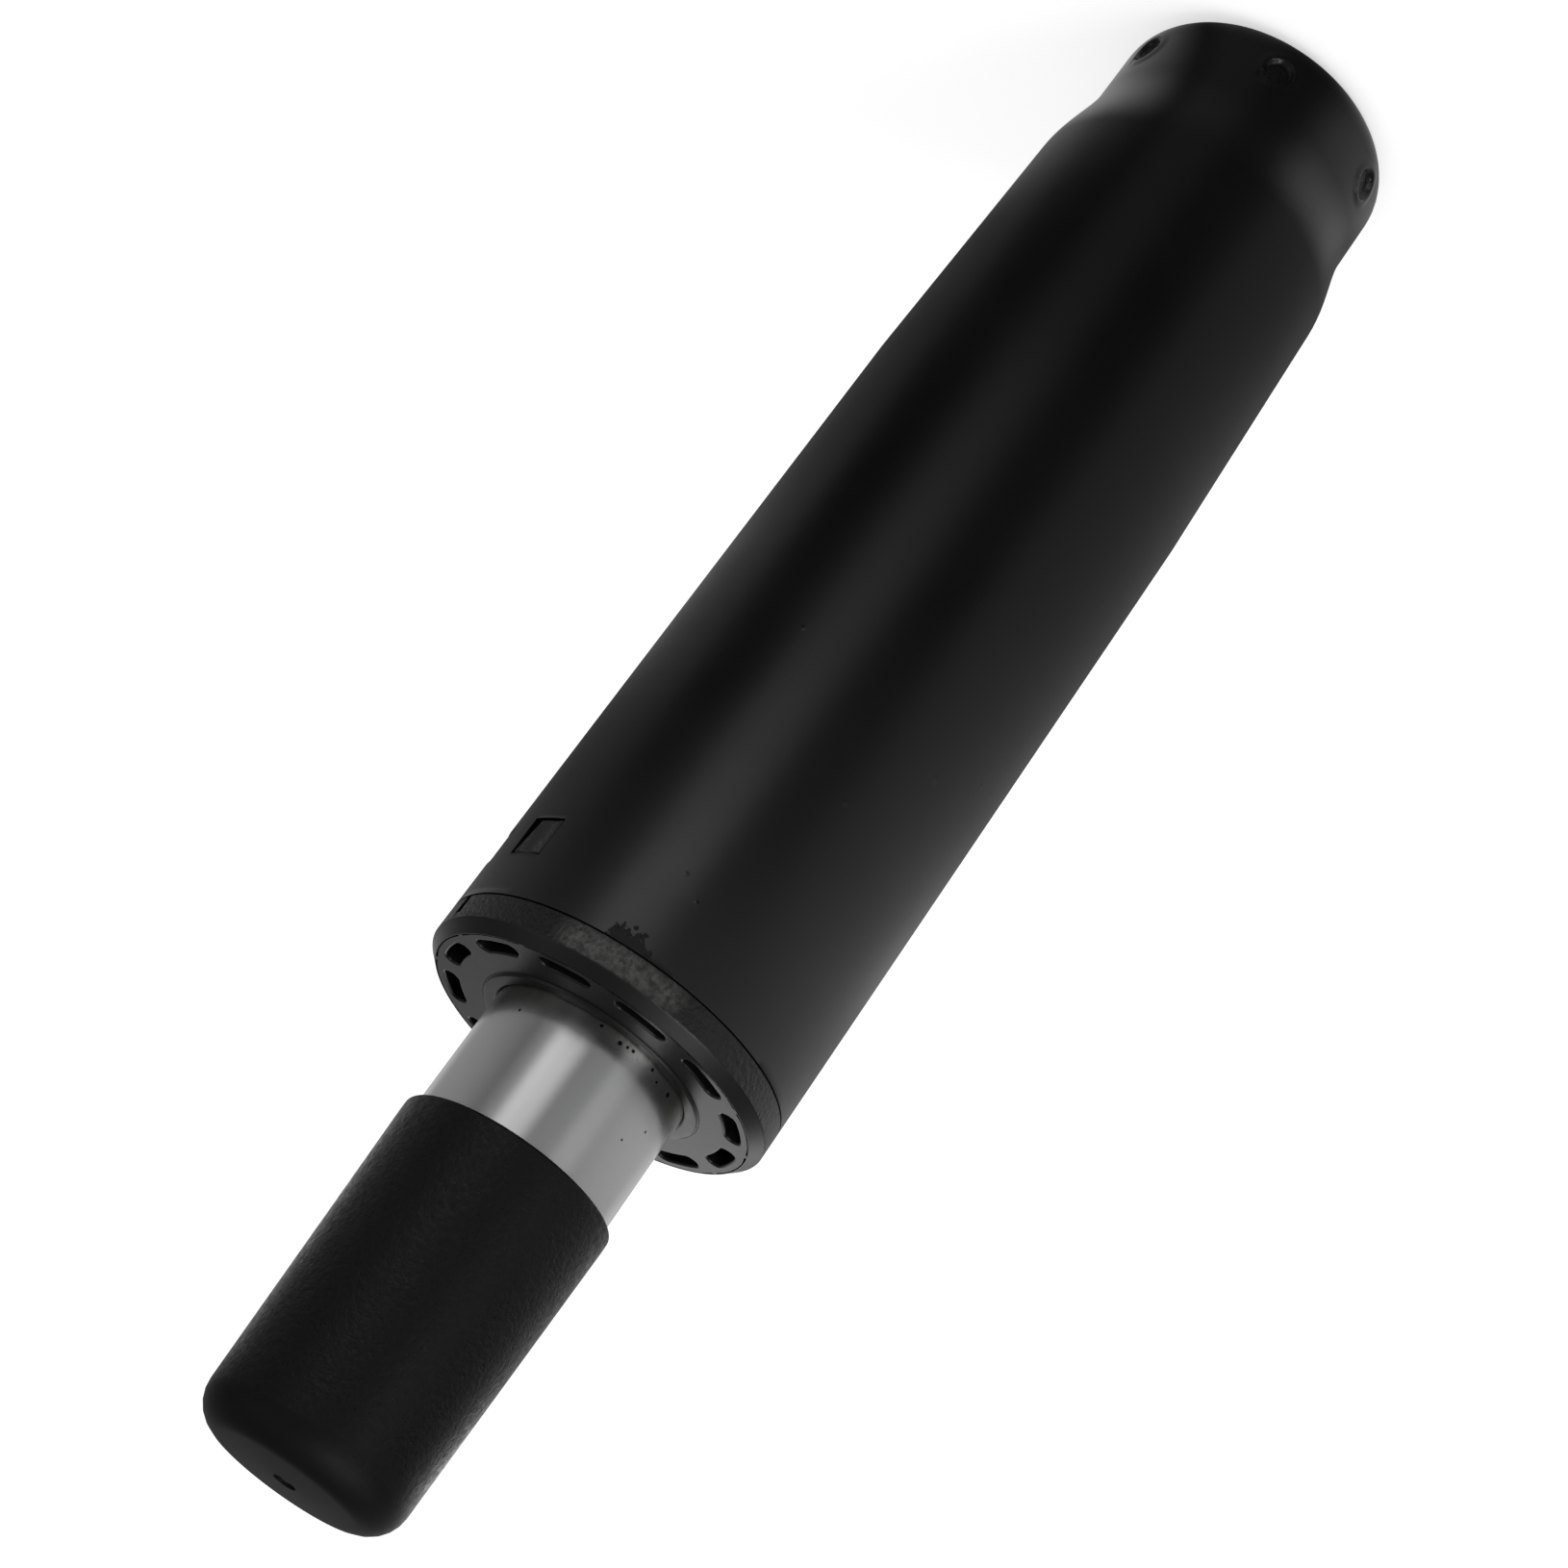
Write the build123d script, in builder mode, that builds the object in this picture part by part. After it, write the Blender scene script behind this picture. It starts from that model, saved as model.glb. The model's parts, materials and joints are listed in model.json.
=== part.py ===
from build123d import *
import math
import os

# Gas lift column of a swivel chair, fully lowered, with the cap on its upper taper.
# Millimetres. The origin is the centre of the lower rim that it stands on, and +Z runs up to the cap.
# Angles are in degrees about +Z, from +X.

# Both tapers: one in twenty on the diameter
taper_half_angle = math.degrees(math.atan(1 / 40))

# Column tube
column_radius = 25.0
column_wall = 1.6
column_length = 176.6
column_edge_break = 0.3
tail_radius = 21.7
tail_length = 14.0
shoulder_length = 14.0
hub_taper_length = 44.0
rim_round = 5.0
rim_opening_radius = 13.0

# Stakes that lock the base plate
stake_count = 6
stake_first_angle = -84.3
stake_height = 8.0
stake_radius = 2.2
stake_depth = 0.8

# Windows and snap lugs that hold the bushing, in pairs beside the notch
lug_pair_angles = (-18.3, 161.7)
lug_half_spread = 12.9
window_width = 6.2
window_height = 5.9
window_drop = 6.6
lug_gap = 0.15
lug_upper_sink = 0.35
lug_lower_sink = 1.5

# Guide bushing
bushing_depth = 64.6
bushing_bore_gap = 0.05
bushing_seat_gap = 0.05
flange_thickness = 5.4
flange_bevel_width = 1.8
flange_bevel_height = 1.6
flange_edge_break = 0.25
wiper_width = 1.9
wiper_height = 0.6
wiper_bevel = 0.5
slot_count = 12
slot_first_angle = 23.5
slot_ring_inset = 4.0
slot_sweep = 14.0
slot_width = 2.2
slot_depth = 14.0
notch_width = 1.5
notch_height = 2.9
notch_depth = 1.2

# Pressure tube, the barrel of the gas spring
barrel_radius = 14.0
barrel_wall = 1.5
barrel_reach = 56.0
barrel_lower_round = 2.6
barrel_upper_round = 2.2
barrel_lower_opening = 8.0
barrel_upper_opening = 5.6
seat_taper_length = 36.0
landing_gap = 0.2

# Protective cap
cap_wall = 1.1
cap_end_wall = 1.5
cap_fit_gap = 0.1
cap_skirt = 1.0
cap_lip_round = 0.45
cap_corner_round = 4.7
cap_crown = 0.35
cap_button_gap = 0.7
gate_mark_radius = 1.5
gate_mark_depth = 0.25
gate_nub_radius = 0.55
gate_nub_height = 0.15

# Base plate
plate_seat_gap = 0.05
plate_side_gap = 0.1
plate_top = 7.2
plate_web = 2.8
plate_bevel_width = 1.1
plate_bevel_height = 2.0
plate_recess_radius = 12.8
running_gap = 0.05

# Thrust bearing
ball_radius = 2.0
ball_count = 10
ball_circle_radius = 9.2
track_depth = 0.35
race_thickness = 1.5
race_radius = 12.6
race_bore_gap = 0.4
cage_thickness = 1.8
cage_inner_radius = 6.2
cage_outer_radius = 12.2
pocket_gap = 0.08

# Rubber bumper
bumper_radius = 12.2
bumper_waist_radius = 10.8
bumper_band = 2.0
bumper_height = 10.0
bumper_bore_gap = 0.2
bumper_washer_radius = 12.6
bumper_washer_thickness = 1.5

# Piston rod
rod_radius = 5.0
rod_lower_radius = 4.0
rod_upper_radius = 3.0
rod_chamfer = 0.5
rod_tail = 1.15
clip_groove_radius = 3.1
clip_groove_gap = 0.05

# Rod end washer and retaining clip
rod_washer_radius = 9.5
rod_washer_thickness = 1.05
rod_washer_gap = 0.1
clip_thickness = 1.1
clip_radius = 7.4
clip_mouth = 5.4

# Piston
piston_fit_gap = 0.06
piston_body_gap = 0.3
piston_length = 12.0
piston_extension_gap = 3.3
piston_ring_section = 1.0
piston_ring_land = 2.2
guide_ring_width = 4.0
guide_ring_thickness = 1.2
groove_gap = 0.05
piston_washer_step = 0.8
piston_washer_thickness = 1.5
piston_washer_gap = 0.05
nut_width = 10.0
nut_height = 5.0
rod_nut_tail = 1.0
piston_head_room = 30.7

# Rod guide and seal in the barrel's lower end
end_washer_thickness = 1.5
end_stack_gap = 0.1
guide_length = 9.0
guide_bevel = 0.8
seal_height = 4.5
seal_valley = 2.5
seal_lip = 1.5
spacer_height = 4.0
spacer_step = 2.0
spacer_bore_gap = 0.4

# Inner tube
gas_channel = 2.0
inner_tube_wall = 1.0
port_count = 4
port_radius = 1.0
port_lift = 0.5

# Valve in the barrel's upper end
button_guide_length = 14.5
button_guide_roof = 7.8
button_guide_wall = 2.0
valve_collar_length = 19.0
valve_neck_length = 12.0
valve_neck_step = 0.9
valve_spigot_length = 8.0
valve_fit_gap = 0.1
valve_ring_section = 0.9
valve_ring_gap = 0.05
collar_ring_drop = 6.0
spigot_ring_lift = 4.5
pin_ring_section = 0.65
pin_ring_drop = 6.0
cross_port_radius = 1.0
cross_port_lift = 6.0
seat_pocket_radius = 3.8
seat_ring_top = 6.0
seat_ring_thickness = 2.0

# Valve pin and release button
pin_radius = 1.6
pin_gap = 0.08
pin_waist_radius = 1.1
pin_waist_length = 14.0
pin_head_radius = 3.0
pin_head_thickness = 2.4
pin_head_gap = 0.1
pin_socket_depth = 3.0
press_travel = 3.5
press_reserve = 0.6
button_radius = 4.0
button_gap = 0.06
button_rise = 6.3
button_crown = 0.25
button_edge = 0.6
button_collar_radius = 5.4
button_collar_thickness = 2.4

# One overrun serves all cuts
overrun = 1.0

# Heights, from the lower rim up
shoulder_top = tail_length + shoulder_length
hub_taper_top = shoulder_top + hub_taper_length
taper_slope = math.tan(math.radians(taper_half_angle))
shoulder_radius = column_radius - hub_taper_length * taper_slope
flange_top = column_length + flange_thickness
lower_race_top = plate_top + race_thickness
ball_height = lower_race_top - track_depth + running_gap + ball_radius
upper_race_bottom = ball_height + ball_radius + running_gap - track_depth
rod_shoulder = upper_race_bottom + race_thickness
bumper_top = rod_shoulder + bumper_height
bumper_washer_top = bumper_top + bumper_washer_thickness
barrel_bottom = bumper_washer_top + landing_gap
barrel_top = flange_top + barrel_reach
seat_taper_start = barrel_top - seat_taper_length
barrel_bore = barrel_radius - barrel_wall
inner_tube_radius = barrel_bore - gas_channel


def facing_plane(angle, height):
    """Plane on the axis at this height, facing outward at this angle, with its y up."""
    turn = math.radians(angle)
    outward = (math.cos(turn), math.sin(turn), 0)
    sideways = (-math.sin(turn), math.cos(turn), 0)
    return Plane(origin=(0, 0, height), x_dir=sideways, z_dir=outward)


def radial_plane(angle):
    """Upright plane through the axis, with its x pointing outward at this angle and its y up."""
    turn = math.radians(angle)
    outward = (math.cos(turn), math.sin(turn), 0)
    backward = (math.sin(turn), -math.cos(turn), 0)
    return Plane(origin=(0, 0, 0), x_dir=outward, z_dir=backward)


def taper_bore(height):
    """Inner radius of the barrel at this height, on or below its taper."""
    return barrel_bore - max(height - seat_taper_start, 0) * taper_slope


def write(piece, name):
    """Label a finished piece and write it as its own file."""
    piece.part.label = name
    export_step(piece.part, "parts/" + name + ".step")


# Column tube: drawn tube with a hub taper, a narrow tail and a turned-in rim
window_top = column_length - window_drop
window_middle = window_top - window_height / 2
lug_angles = [pair + side * lug_half_spread for pair in lug_pair_angles for side in (-1, 1)]
column_bore = column_radius - column_wall
tail_bore = tail_radius - column_wall
taper_lean = (math.sin(math.radians(taper_half_angle)), math.cos(math.radians(taper_half_angle)))

# A stake is a punched crater outside and a bump of the same wall inside
stake_sphere = (stake_radius**2 + stake_depth**2) / (2 * stake_depth)
stake_centre = tail_radius + stake_sphere - stake_depth

with BuildPart() as stake_bumps:
    with PolarLocations(stake_centre, stake_count, start_angle=stake_first_angle):
        with Locations((0, 0, stake_height)):
            Sphere(stake_sphere + column_wall)
    with Locations((0, 0, stake_height)):
        Cylinder(tail_radius - column_wall / 2, 2 * tail_length, mode=Mode.INTERSECT)

with BuildPart() as stand_tube:
    with BuildSketch(Plane.XZ):
        with BuildLine():
            Line((rim_opening_radius, 0), (tail_radius - rim_round, 0))
            TangentArc((tail_radius - rim_round, 0), (tail_radius, rim_round), tangent=(1, 0))
            Line((tail_radius, rim_round), (tail_radius, tail_length))
            Spline(
                (tail_radius, tail_length),
                (shoulder_radius, shoulder_top),
                tangents=[(0, 1), taper_lean],
            )
            Polyline(
                (shoulder_radius, shoulder_top),
                (column_radius, hub_taper_top),
                (column_radius, column_length - column_edge_break),
                (column_radius - column_edge_break, column_length),
                (column_bore, column_length),
                (column_bore, hub_taper_top),
                (shoulder_radius - column_wall, shoulder_top),
            )
            Spline(
                (tail_bore, tail_length),
                (shoulder_radius - column_wall, shoulder_top),
                tangents=[(0, 1), taper_lean],
            )
            Line((tail_bore, tail_length), (tail_bore, rim_round))
            TangentArc((tail_bore, rim_round), (tail_radius - rim_round, column_wall), tangent=(0, -1))
            Polyline(
                (tail_radius - rim_round, column_wall),
                (rim_opening_radius, column_wall),
                (rim_opening_radius, 0),
            )
        make_face()
    revolve(axis=Axis.Z)
    add(stake_bumps.part)
    with PolarLocations(stake_centre, stake_count, start_angle=stake_first_angle):
        with Locations((0, 0, stake_height)):
            Sphere(stake_sphere, mode=Mode.SUBTRACT)
    for angle in lug_angles:
        with BuildSketch(facing_plane(angle, window_middle)):
            Rectangle(window_width, window_height)
        extrude(amount=column_radius + overrun, mode=Mode.SUBTRACT)
write(stand_tube, "stand_tube")

# Guide bushing: thick sleeve in the column, with a slotted flange that covers the tube's end
bushing_bottom = column_length - bushing_depth
bushing_bore = barrel_radius + bushing_bore_gap
bushing_radius = column_bore - bushing_seat_gap
wiper_radius = bushing_bore + wiper_width
slot_ring_radius = column_radius - slot_ring_inset
lug_bottom = window_top - window_height + lug_gap
lug_top = window_top - lug_gap
lug_root = slot_ring_radius + slot_width / 2

with BuildPart() as guide_bushing:
    with BuildSketch(Plane.XZ):
        with BuildLine():
            Polyline(
                (bushing_bore, bushing_bottom),
                (bushing_radius - flange_edge_break, bushing_bottom),
                (bushing_radius, bushing_bottom + flange_edge_break),
                (bushing_radius, column_length),
                (column_radius - flange_edge_break, column_length),
                (column_radius, column_length + flange_edge_break),
                (column_radius, flange_top - flange_bevel_height),
                (column_radius - flange_bevel_width, flange_top),
                (wiper_radius + wiper_bevel / 2, flange_top),
                (wiper_radius, flange_top + wiper_height),
                (bushing_bore + wiper_bevel, flange_top + wiper_height),
                (bushing_bore, flange_top + wiper_height - wiper_bevel),
                close=True,
            )
        make_face()
    revolve(axis=Axis.Z)

    # Ring of round-ended slots behind the outer wall
    with BuildSketch(Plane.XY.offset(flange_top)):
        for number in range(slot_count):
            start = slot_first_angle + number * 360 / slot_count - slot_sweep / 2
            middle_line = Edge.make_circle(slot_ring_radius, start_angle=start, end_angle=start + slot_sweep)
            SlotArc(middle_line, slot_width)
    extrude(amount=-slot_depth, mode=Mode.SUBTRACT)

    # Snap lugs, ramped so that they ride under the tube's end and catch in its windows
    for angle in lug_angles:
        with BuildSketch(radial_plane(angle)):
            with BuildLine():
                Polyline(
                    (lug_root, lug_bottom),
                    (column_radius - lug_lower_sink, lug_bottom),
                    (column_radius - lug_upper_sink, lug_top),
                    (lug_root, lug_top),
                    close=True,
                )
            make_face()
        extrude(amount=window_width / 2 - lug_gap, both=True)

    # Notch in the flange's band, midway between the first pair of lugs
    with BuildSketch(facing_plane(lug_pair_angles[0], column_length).offset(column_radius - notch_depth)):
        Rectangle(notch_width, notch_height, align=(Align.CENTER, Align.MIN))
    extrude(amount=notch_depth + overrun, mode=Mode.SUBTRACT)
write(guide_bushing, "guide_bushing")

# Base plate: dished plate between the turned-in rim and the stakes
plate_radius = tail_bore - plate_side_gap
plate_bottom = column_wall + plate_seat_gap
plate_recess_top = plate_top - plate_web
plate_foot = rim_round - column_wall

with BuildPart() as base_plate:
    with BuildSketch(Plane.XZ):
        with BuildLine():
            Polyline(
                (plate_recess_radius, plate_bottom),
                (plate_radius - plate_foot, plate_bottom),
                (plate_radius, rim_round),
                (plate_radius, plate_top - plate_bevel_height),
                (plate_radius - plate_bevel_width, plate_top),
                (rod_lower_radius + running_gap, plate_top),
                (rod_lower_radius + running_gap, plate_recess_top),
                (plate_recess_radius, plate_recess_top),
                close=True,
            )
        make_face()
    revolve(axis=Axis.Z)
write(base_plate, "base_plate")

# Thrust bearing: two races with a shallow track, and balls in a cage between them
with BuildPart() as ball_track:
    with BuildSketch(Plane.XZ):
        with Locations((ball_circle_radius, ball_height)):
            Circle(ball_radius + running_gap)
    revolve(axis=Axis.Z)

with BuildPart() as lower_bearing_race:
    with BuildSketch(Plane.XY.offset(plate_top)):
        Circle(race_radius)
        Circle(rod_lower_radius + race_bore_gap, mode=Mode.SUBTRACT)
    extrude(amount=race_thickness)
    add(ball_track.part, mode=Mode.SUBTRACT)
write(lower_bearing_race, "lower_bearing_race")

with BuildPart() as upper_bearing_race:
    with BuildSketch(Plane.XY.offset(upper_race_bottom)):
        Circle(race_radius)
        Circle(rod_lower_radius + running_gap, mode=Mode.SUBTRACT)
    extrude(amount=race_thickness)
    add(ball_track.part, mode=Mode.SUBTRACT)
write(upper_bearing_race, "upper_bearing_race")

with BuildPart() as ball_cage:
    with BuildSketch(Plane.XY.offset(ball_height - cage_thickness / 2)):
        Circle(cage_outer_radius)
        Circle(cage_inner_radius, mode=Mode.SUBTRACT)
        with PolarLocations(ball_circle_radius, ball_count):
            Circle(ball_radius + pocket_gap, mode=Mode.SUBTRACT)
    extrude(amount=cage_thickness)
write(ball_cage, "ball_cage")

with BuildPart() as bearing_balls:
    with Locations((0, 0, ball_height)):
        with PolarLocations(ball_circle_radius, ball_count):
            Sphere(ball_radius)
write(bearing_balls, "bearing_balls")

# Rubber bumper with a waist, and the steel washer that the barrel lands on
bumper_bore = rod_radius + bumper_bore_gap

with BuildPart() as rubber_bumper:
    with BuildSketch(Plane.XZ):
        with BuildLine():
            Polyline(
                (bumper_radius, bumper_top - bumper_band),
                (bumper_radius, bumper_top),
                (bumper_bore, bumper_top),
                (bumper_bore, rod_shoulder),
                (bumper_radius, rod_shoulder),
                (bumper_radius, rod_shoulder + bumper_band),
            )
            ThreePointArc(
                (bumper_radius, rod_shoulder + bumper_band),
                (bumper_waist_radius, rod_shoulder + bumper_height / 2),
                (bumper_radius, bumper_top - bumper_band),
            )
        make_face()
    revolve(axis=Axis.Z)
write(rubber_bumper, "rubber_bumper")

with BuildPart() as bumper_washer:
    with BuildSketch(Plane.XY.offset(bumper_top)):
        Circle(bumper_washer_radius)
        Circle(bumper_bore, mode=Mode.SUBTRACT)
    extrude(amount=bumper_washer_thickness)
write(bumper_washer, "bumper_washer")

# Lower end of the barrel: end washer, rod guide, lip seal and spacer, one on the other
end_washer_bottom = barrel_bottom + barrel_wall + end_stack_gap
guide_bottom = end_washer_bottom + end_washer_thickness
seal_bottom = guide_bottom + guide_length
seal_top = seal_bottom + seal_height
spacer_bottom = seal_top + end_stack_gap
inner_tube_bottom = spacer_bottom + spacer_height
spacer_top = inner_tube_bottom + spacer_step
stack_radius = barrel_bore - valve_fit_gap
rod_bore = rod_radius + running_gap
inner_tube_bore = inner_tube_radius - inner_tube_wall

with BuildPart() as tube_end_washer:
    with BuildSketch(Plane.XY.offset(end_washer_bottom)):
        Circle(stack_radius)
        Circle(rod_radius + spacer_bore_gap, mode=Mode.SUBTRACT)
    extrude(amount=end_washer_thickness)
    outer_edge = edges().filter_by(GeomType.CIRCLE).sort_by(SortBy.RADIUS)[-2:].sort_by(Axis.Z)[0]
    chamfer(outer_edge, end_washer_thickness * 0.6)
write(tube_end_washer, "tube_end_washer")

with BuildPart() as rod_guide:
    with BuildSketch(Plane.XZ):
        with BuildLine():
            Polyline(
                (rod_bore + guide_bevel, guide_bottom),
                (stack_radius, guide_bottom),
                (stack_radius, seal_bottom),
                (rod_bore + guide_bevel, seal_bottom),
                (rod_bore, seal_bottom - guide_bevel),
                (rod_bore, guide_bottom + guide_bevel),
                close=True,
            )
        make_face()
    revolve(axis=Axis.Z)
write(rod_guide, "rod_guide")

with BuildPart() as rod_seal:
    with BuildSketch(Plane.XZ):
        with BuildLine():
            Polyline(
                (rod_bore, seal_bottom),
                (stack_radius, seal_bottom),
                (stack_radius, seal_top),
                (stack_radius - seal_lip, seal_top),
                ((stack_radius + rod_bore) / 2, seal_top - seal_valley),
                (rod_bore + seal_lip, seal_top),
                (rod_bore, seal_top),
                close=True,
            )
        make_face()
    revolve(axis=Axis.Z)
write(rod_seal, "rod_seal")

with BuildPart() as seal_spacer:
    with BuildSketch(Plane.XZ):
        with BuildLine():
            Polyline(
                (rod_radius + spacer_bore_gap, spacer_bottom),
                (stack_radius, spacer_bottom),
                (stack_radius, inner_tube_bottom),
                (inner_tube_bore - valve_fit_gap, inner_tube_bottom),
                (inner_tube_bore - valve_fit_gap, spacer_top),
                (rod_radius + spacer_bore_gap, spacer_top),
                close=True,
            )
        make_face()
    revolve(axis=Axis.Z)
write(seal_spacer, "seal_spacer")

# Inner tube, from the spacer up to the valve's shoulder, with gas ports just above the spacer
valve_top = barrel_top - barrel_wall - button_guide_length
valve_collar_bottom = valve_top - valve_collar_length
inner_tube_top = valve_collar_bottom - valve_neck_length

with BuildPart() as inner_tube:
    with BuildSketch(Plane.XY.offset(inner_tube_bottom)):
        Circle(inner_tube_radius)
        Circle(inner_tube_bore, mode=Mode.SUBTRACT)
    extrude(amount=inner_tube_top - inner_tube_bottom)
    for number in range(port_count):
        with BuildSketch(facing_plane(number * 360 / port_count, spacer_top + port_lift + port_radius)):
            Circle(port_radius)
        extrude(amount=inner_tube_radius + overrun, mode=Mode.SUBTRACT)
write(inner_tube, "inner_tube")

# Piston rod: the shoulder rests on the upper race, and the piston sits on the upper step
spigot_bottom = inner_tube_top - valve_spigot_length
rod_top = spigot_bottom - piston_head_room
nut_bottom = rod_top - rod_nut_tail - nut_height
piston_top = nut_bottom - piston_washer_thickness
piston_bottom = piston_top - piston_length
piston_seat = piston_bottom - piston_washer_thickness
stroke = piston_seat - spacer_top - piston_extension_gap
washer_top = plate_recess_top - running_gap
washer_bottom = washer_top - rod_washer_thickness
clip_bottom = washer_bottom - clip_thickness
rod_bottom = clip_bottom - clip_groove_gap - rod_tail

with BuildPart() as piston_rod:
    with BuildSketch(Plane.XZ):
        with BuildLine():
            Polyline(
                (0, rod_bottom),
                (rod_lower_radius - rod_chamfer, rod_bottom),
                (rod_lower_radius, rod_bottom + rod_chamfer),
                (rod_lower_radius, clip_bottom - clip_groove_gap),
                (clip_groove_radius, clip_bottom - clip_groove_gap),
                (clip_groove_radius, washer_bottom + clip_groove_gap),
                (rod_lower_radius, washer_bottom + clip_groove_gap),
                (rod_lower_radius, rod_shoulder),
                (rod_radius, rod_shoulder),
                (rod_radius, piston_seat - rod_chamfer),
                (rod_radius - rod_chamfer, piston_seat),
                (rod_upper_radius, piston_seat),
                (rod_upper_radius, rod_top - rod_chamfer),
                (rod_upper_radius - rod_chamfer, rod_top),
                (0, rod_top),
                close=True,
            )
        make_face()
    revolve(axis=Axis.Z)
write(piston_rod, "piston_rod")
print("stroke", round(stroke, 3), "mm, from the barrel's lowest place up")

with BuildPart() as rod_end_washer:
    with BuildSketch(Plane.XY.offset(washer_bottom)):
        Circle(rod_washer_radius)
        Circle(rod_lower_radius + rod_washer_gap, mode=Mode.SUBTRACT)
    extrude(amount=rod_washer_thickness)
write(rod_end_washer, "rod_end_washer")

# Open spring clip, pushed sideways into the rod's groove
with BuildPart() as retaining_clip:
    with BuildSketch(Plane.XY.offset(clip_bottom)):
        Circle(clip_radius)
        Circle(clip_groove_radius + clip_groove_gap, mode=Mode.SUBTRACT)
        Rectangle(2 * clip_radius, clip_mouth, align=(Align.MIN, Align.CENTER), mode=Mode.SUBTRACT)
    extrude(amount=clip_thickness)
    fillet(edges().filter_by(Axis.Z).group_by(Axis.X)[-1], clip_thickness * 0.8)
write(retaining_clip, "retaining_clip")

# Piston: seal groove below, guide band above
piston_radius = inner_tube_bore - piston_body_gap
piston_washer_radius = piston_radius - piston_washer_step
running_radius = inner_tube_bore - piston_fit_gap
seal_groove_bottom = piston_bottom + piston_ring_land
seal_groove_top = seal_groove_bottom + 2 * (piston_ring_section + groove_gap)
band_groove_bottom = seal_groove_top + piston_ring_land
band_groove_top = band_groove_bottom + guide_ring_width + 2 * groove_gap
seal_groove_radius = running_radius - 2 * piston_ring_section - groove_gap
band_groove_radius = running_radius - guide_ring_thickness - groove_gap
piston_bore = rod_upper_radius + piston_washer_gap

with BuildPart() as piston_support_washer:
    with BuildSketch(Plane.XY.offset(piston_seat)):
        Circle(piston_washer_radius)
        Circle(piston_bore, mode=Mode.SUBTRACT)
    extrude(amount=piston_washer_thickness)
write(piston_support_washer, "piston_support_washer")

with BuildPart() as piston_body:
    with BuildSketch(Plane.XZ):
        with BuildLine():
            Polyline(
                (piston_bore, piston_bottom),
                (piston_radius, piston_bottom),
                (piston_radius, seal_groove_bottom),
                (seal_groove_radius, seal_groove_bottom),
                (seal_groove_radius, seal_groove_top),
                (piston_radius, seal_groove_top),
                (piston_radius, band_groove_bottom),
                (band_groove_radius, band_groove_bottom),
                (band_groove_radius, band_groove_top),
                (piston_radius, band_groove_top),
                (piston_radius, piston_top),
                (piston_bore, piston_top),
                close=True,
            )
        make_face()
    revolve(axis=Axis.Z)
write(piston_body, "piston_body")

with BuildPart() as piston_o_ring:
    with BuildSketch(Plane.XZ):
        with Locations((running_radius - piston_ring_section, (seal_groove_bottom + seal_groove_top) / 2)):
            Circle(piston_ring_section)
    revolve(axis=Axis.Z)
write(piston_o_ring, "piston_o_ring")

with BuildPart() as piston_guide_ring:
    with BuildSketch(Plane.XY.offset(band_groove_bottom + groove_gap)):
        Circle(running_radius)
        Circle(running_radius - guide_ring_thickness, mode=Mode.SUBTRACT)
    extrude(amount=guide_ring_width)
write(piston_guide_ring, "piston_guide_ring")

with BuildPart() as piston_top_washer:
    with BuildSketch(Plane.XY.offset(piston_top)):
        Circle(piston_washer_radius)
        Circle(piston_bore, mode=Mode.SUBTRACT)
    extrude(amount=piston_washer_thickness)
write(piston_top_washer, "piston_top_washer")

with BuildPart() as piston_nut:
    with BuildSketch(Plane.XY.offset(nut_bottom)):
        RegularPolygon(nut_width / 2, side_count=6, major_radius=False)
        Circle(piston_bore, mode=Mode.SUBTRACT)
    extrude(amount=nut_height)
write(piston_nut, "piston_nut")

# Barrel: rolled in at both ends, and drawn down to the seat taper
taper_shoulder = barrel_top - barrel_upper_round
taper_shoulder_radius = barrel_radius - (taper_shoulder - seat_taper_start) * taper_slope
upper_inner_round = barrel_upper_round - barrel_wall / 2
upper_inner_height = barrel_top - barrel_wall - upper_inner_round

with BuildPart() as pressure_tube:
    with BuildSketch(Plane.XZ):
        with BuildLine():
            Line((barrel_lower_opening, barrel_bottom), (barrel_radius - barrel_lower_round, barrel_bottom))
            TangentArc(
                (barrel_radius - barrel_lower_round, barrel_bottom),
                (barrel_radius, barrel_bottom + barrel_lower_round),
                tangent=(1, 0),
            )
            Polyline(
                (barrel_radius, barrel_bottom + barrel_lower_round),
                (barrel_radius, seat_taper_start),
                (taper_shoulder_radius, taper_shoulder),
            )
            TangentArc(
                (taper_shoulder_radius, taper_shoulder),
                (taper_shoulder_radius - barrel_upper_round, barrel_top),
                tangent=(0, 1),
            )
            Polyline(
                (taper_shoulder_radius - barrel_upper_round, barrel_top),
                (barrel_upper_opening, barrel_top),
                (barrel_upper_opening, barrel_top - barrel_wall),
                (taper_bore(upper_inner_height) - upper_inner_round, barrel_top - barrel_wall),
            )
            TangentArc(
                (taper_bore(upper_inner_height), upper_inner_height),
                (taper_bore(upper_inner_height) - upper_inner_round, barrel_top - barrel_wall),
                tangent=(0, 1),
            )
            Polyline(
                (taper_bore(upper_inner_height), upper_inner_height),
                (barrel_bore, seat_taper_start),
                (barrel_bore, barrel_bottom + barrel_lower_round),
            )
            TangentArc(
                (barrel_bore, barrel_bottom + barrel_lower_round),
                (barrel_radius - barrel_lower_round, barrel_bottom + barrel_wall),
                tangent=(0, -1),
            )
            Polyline(
                (barrel_radius - barrel_lower_round, barrel_bottom + barrel_wall),
                (barrel_lower_opening, barrel_bottom + barrel_wall),
                (barrel_lower_opening, barrel_bottom),
            )
        make_face()
    revolve(axis=Axis.Z)
write(pressure_tube, "pressure_tube")

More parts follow.
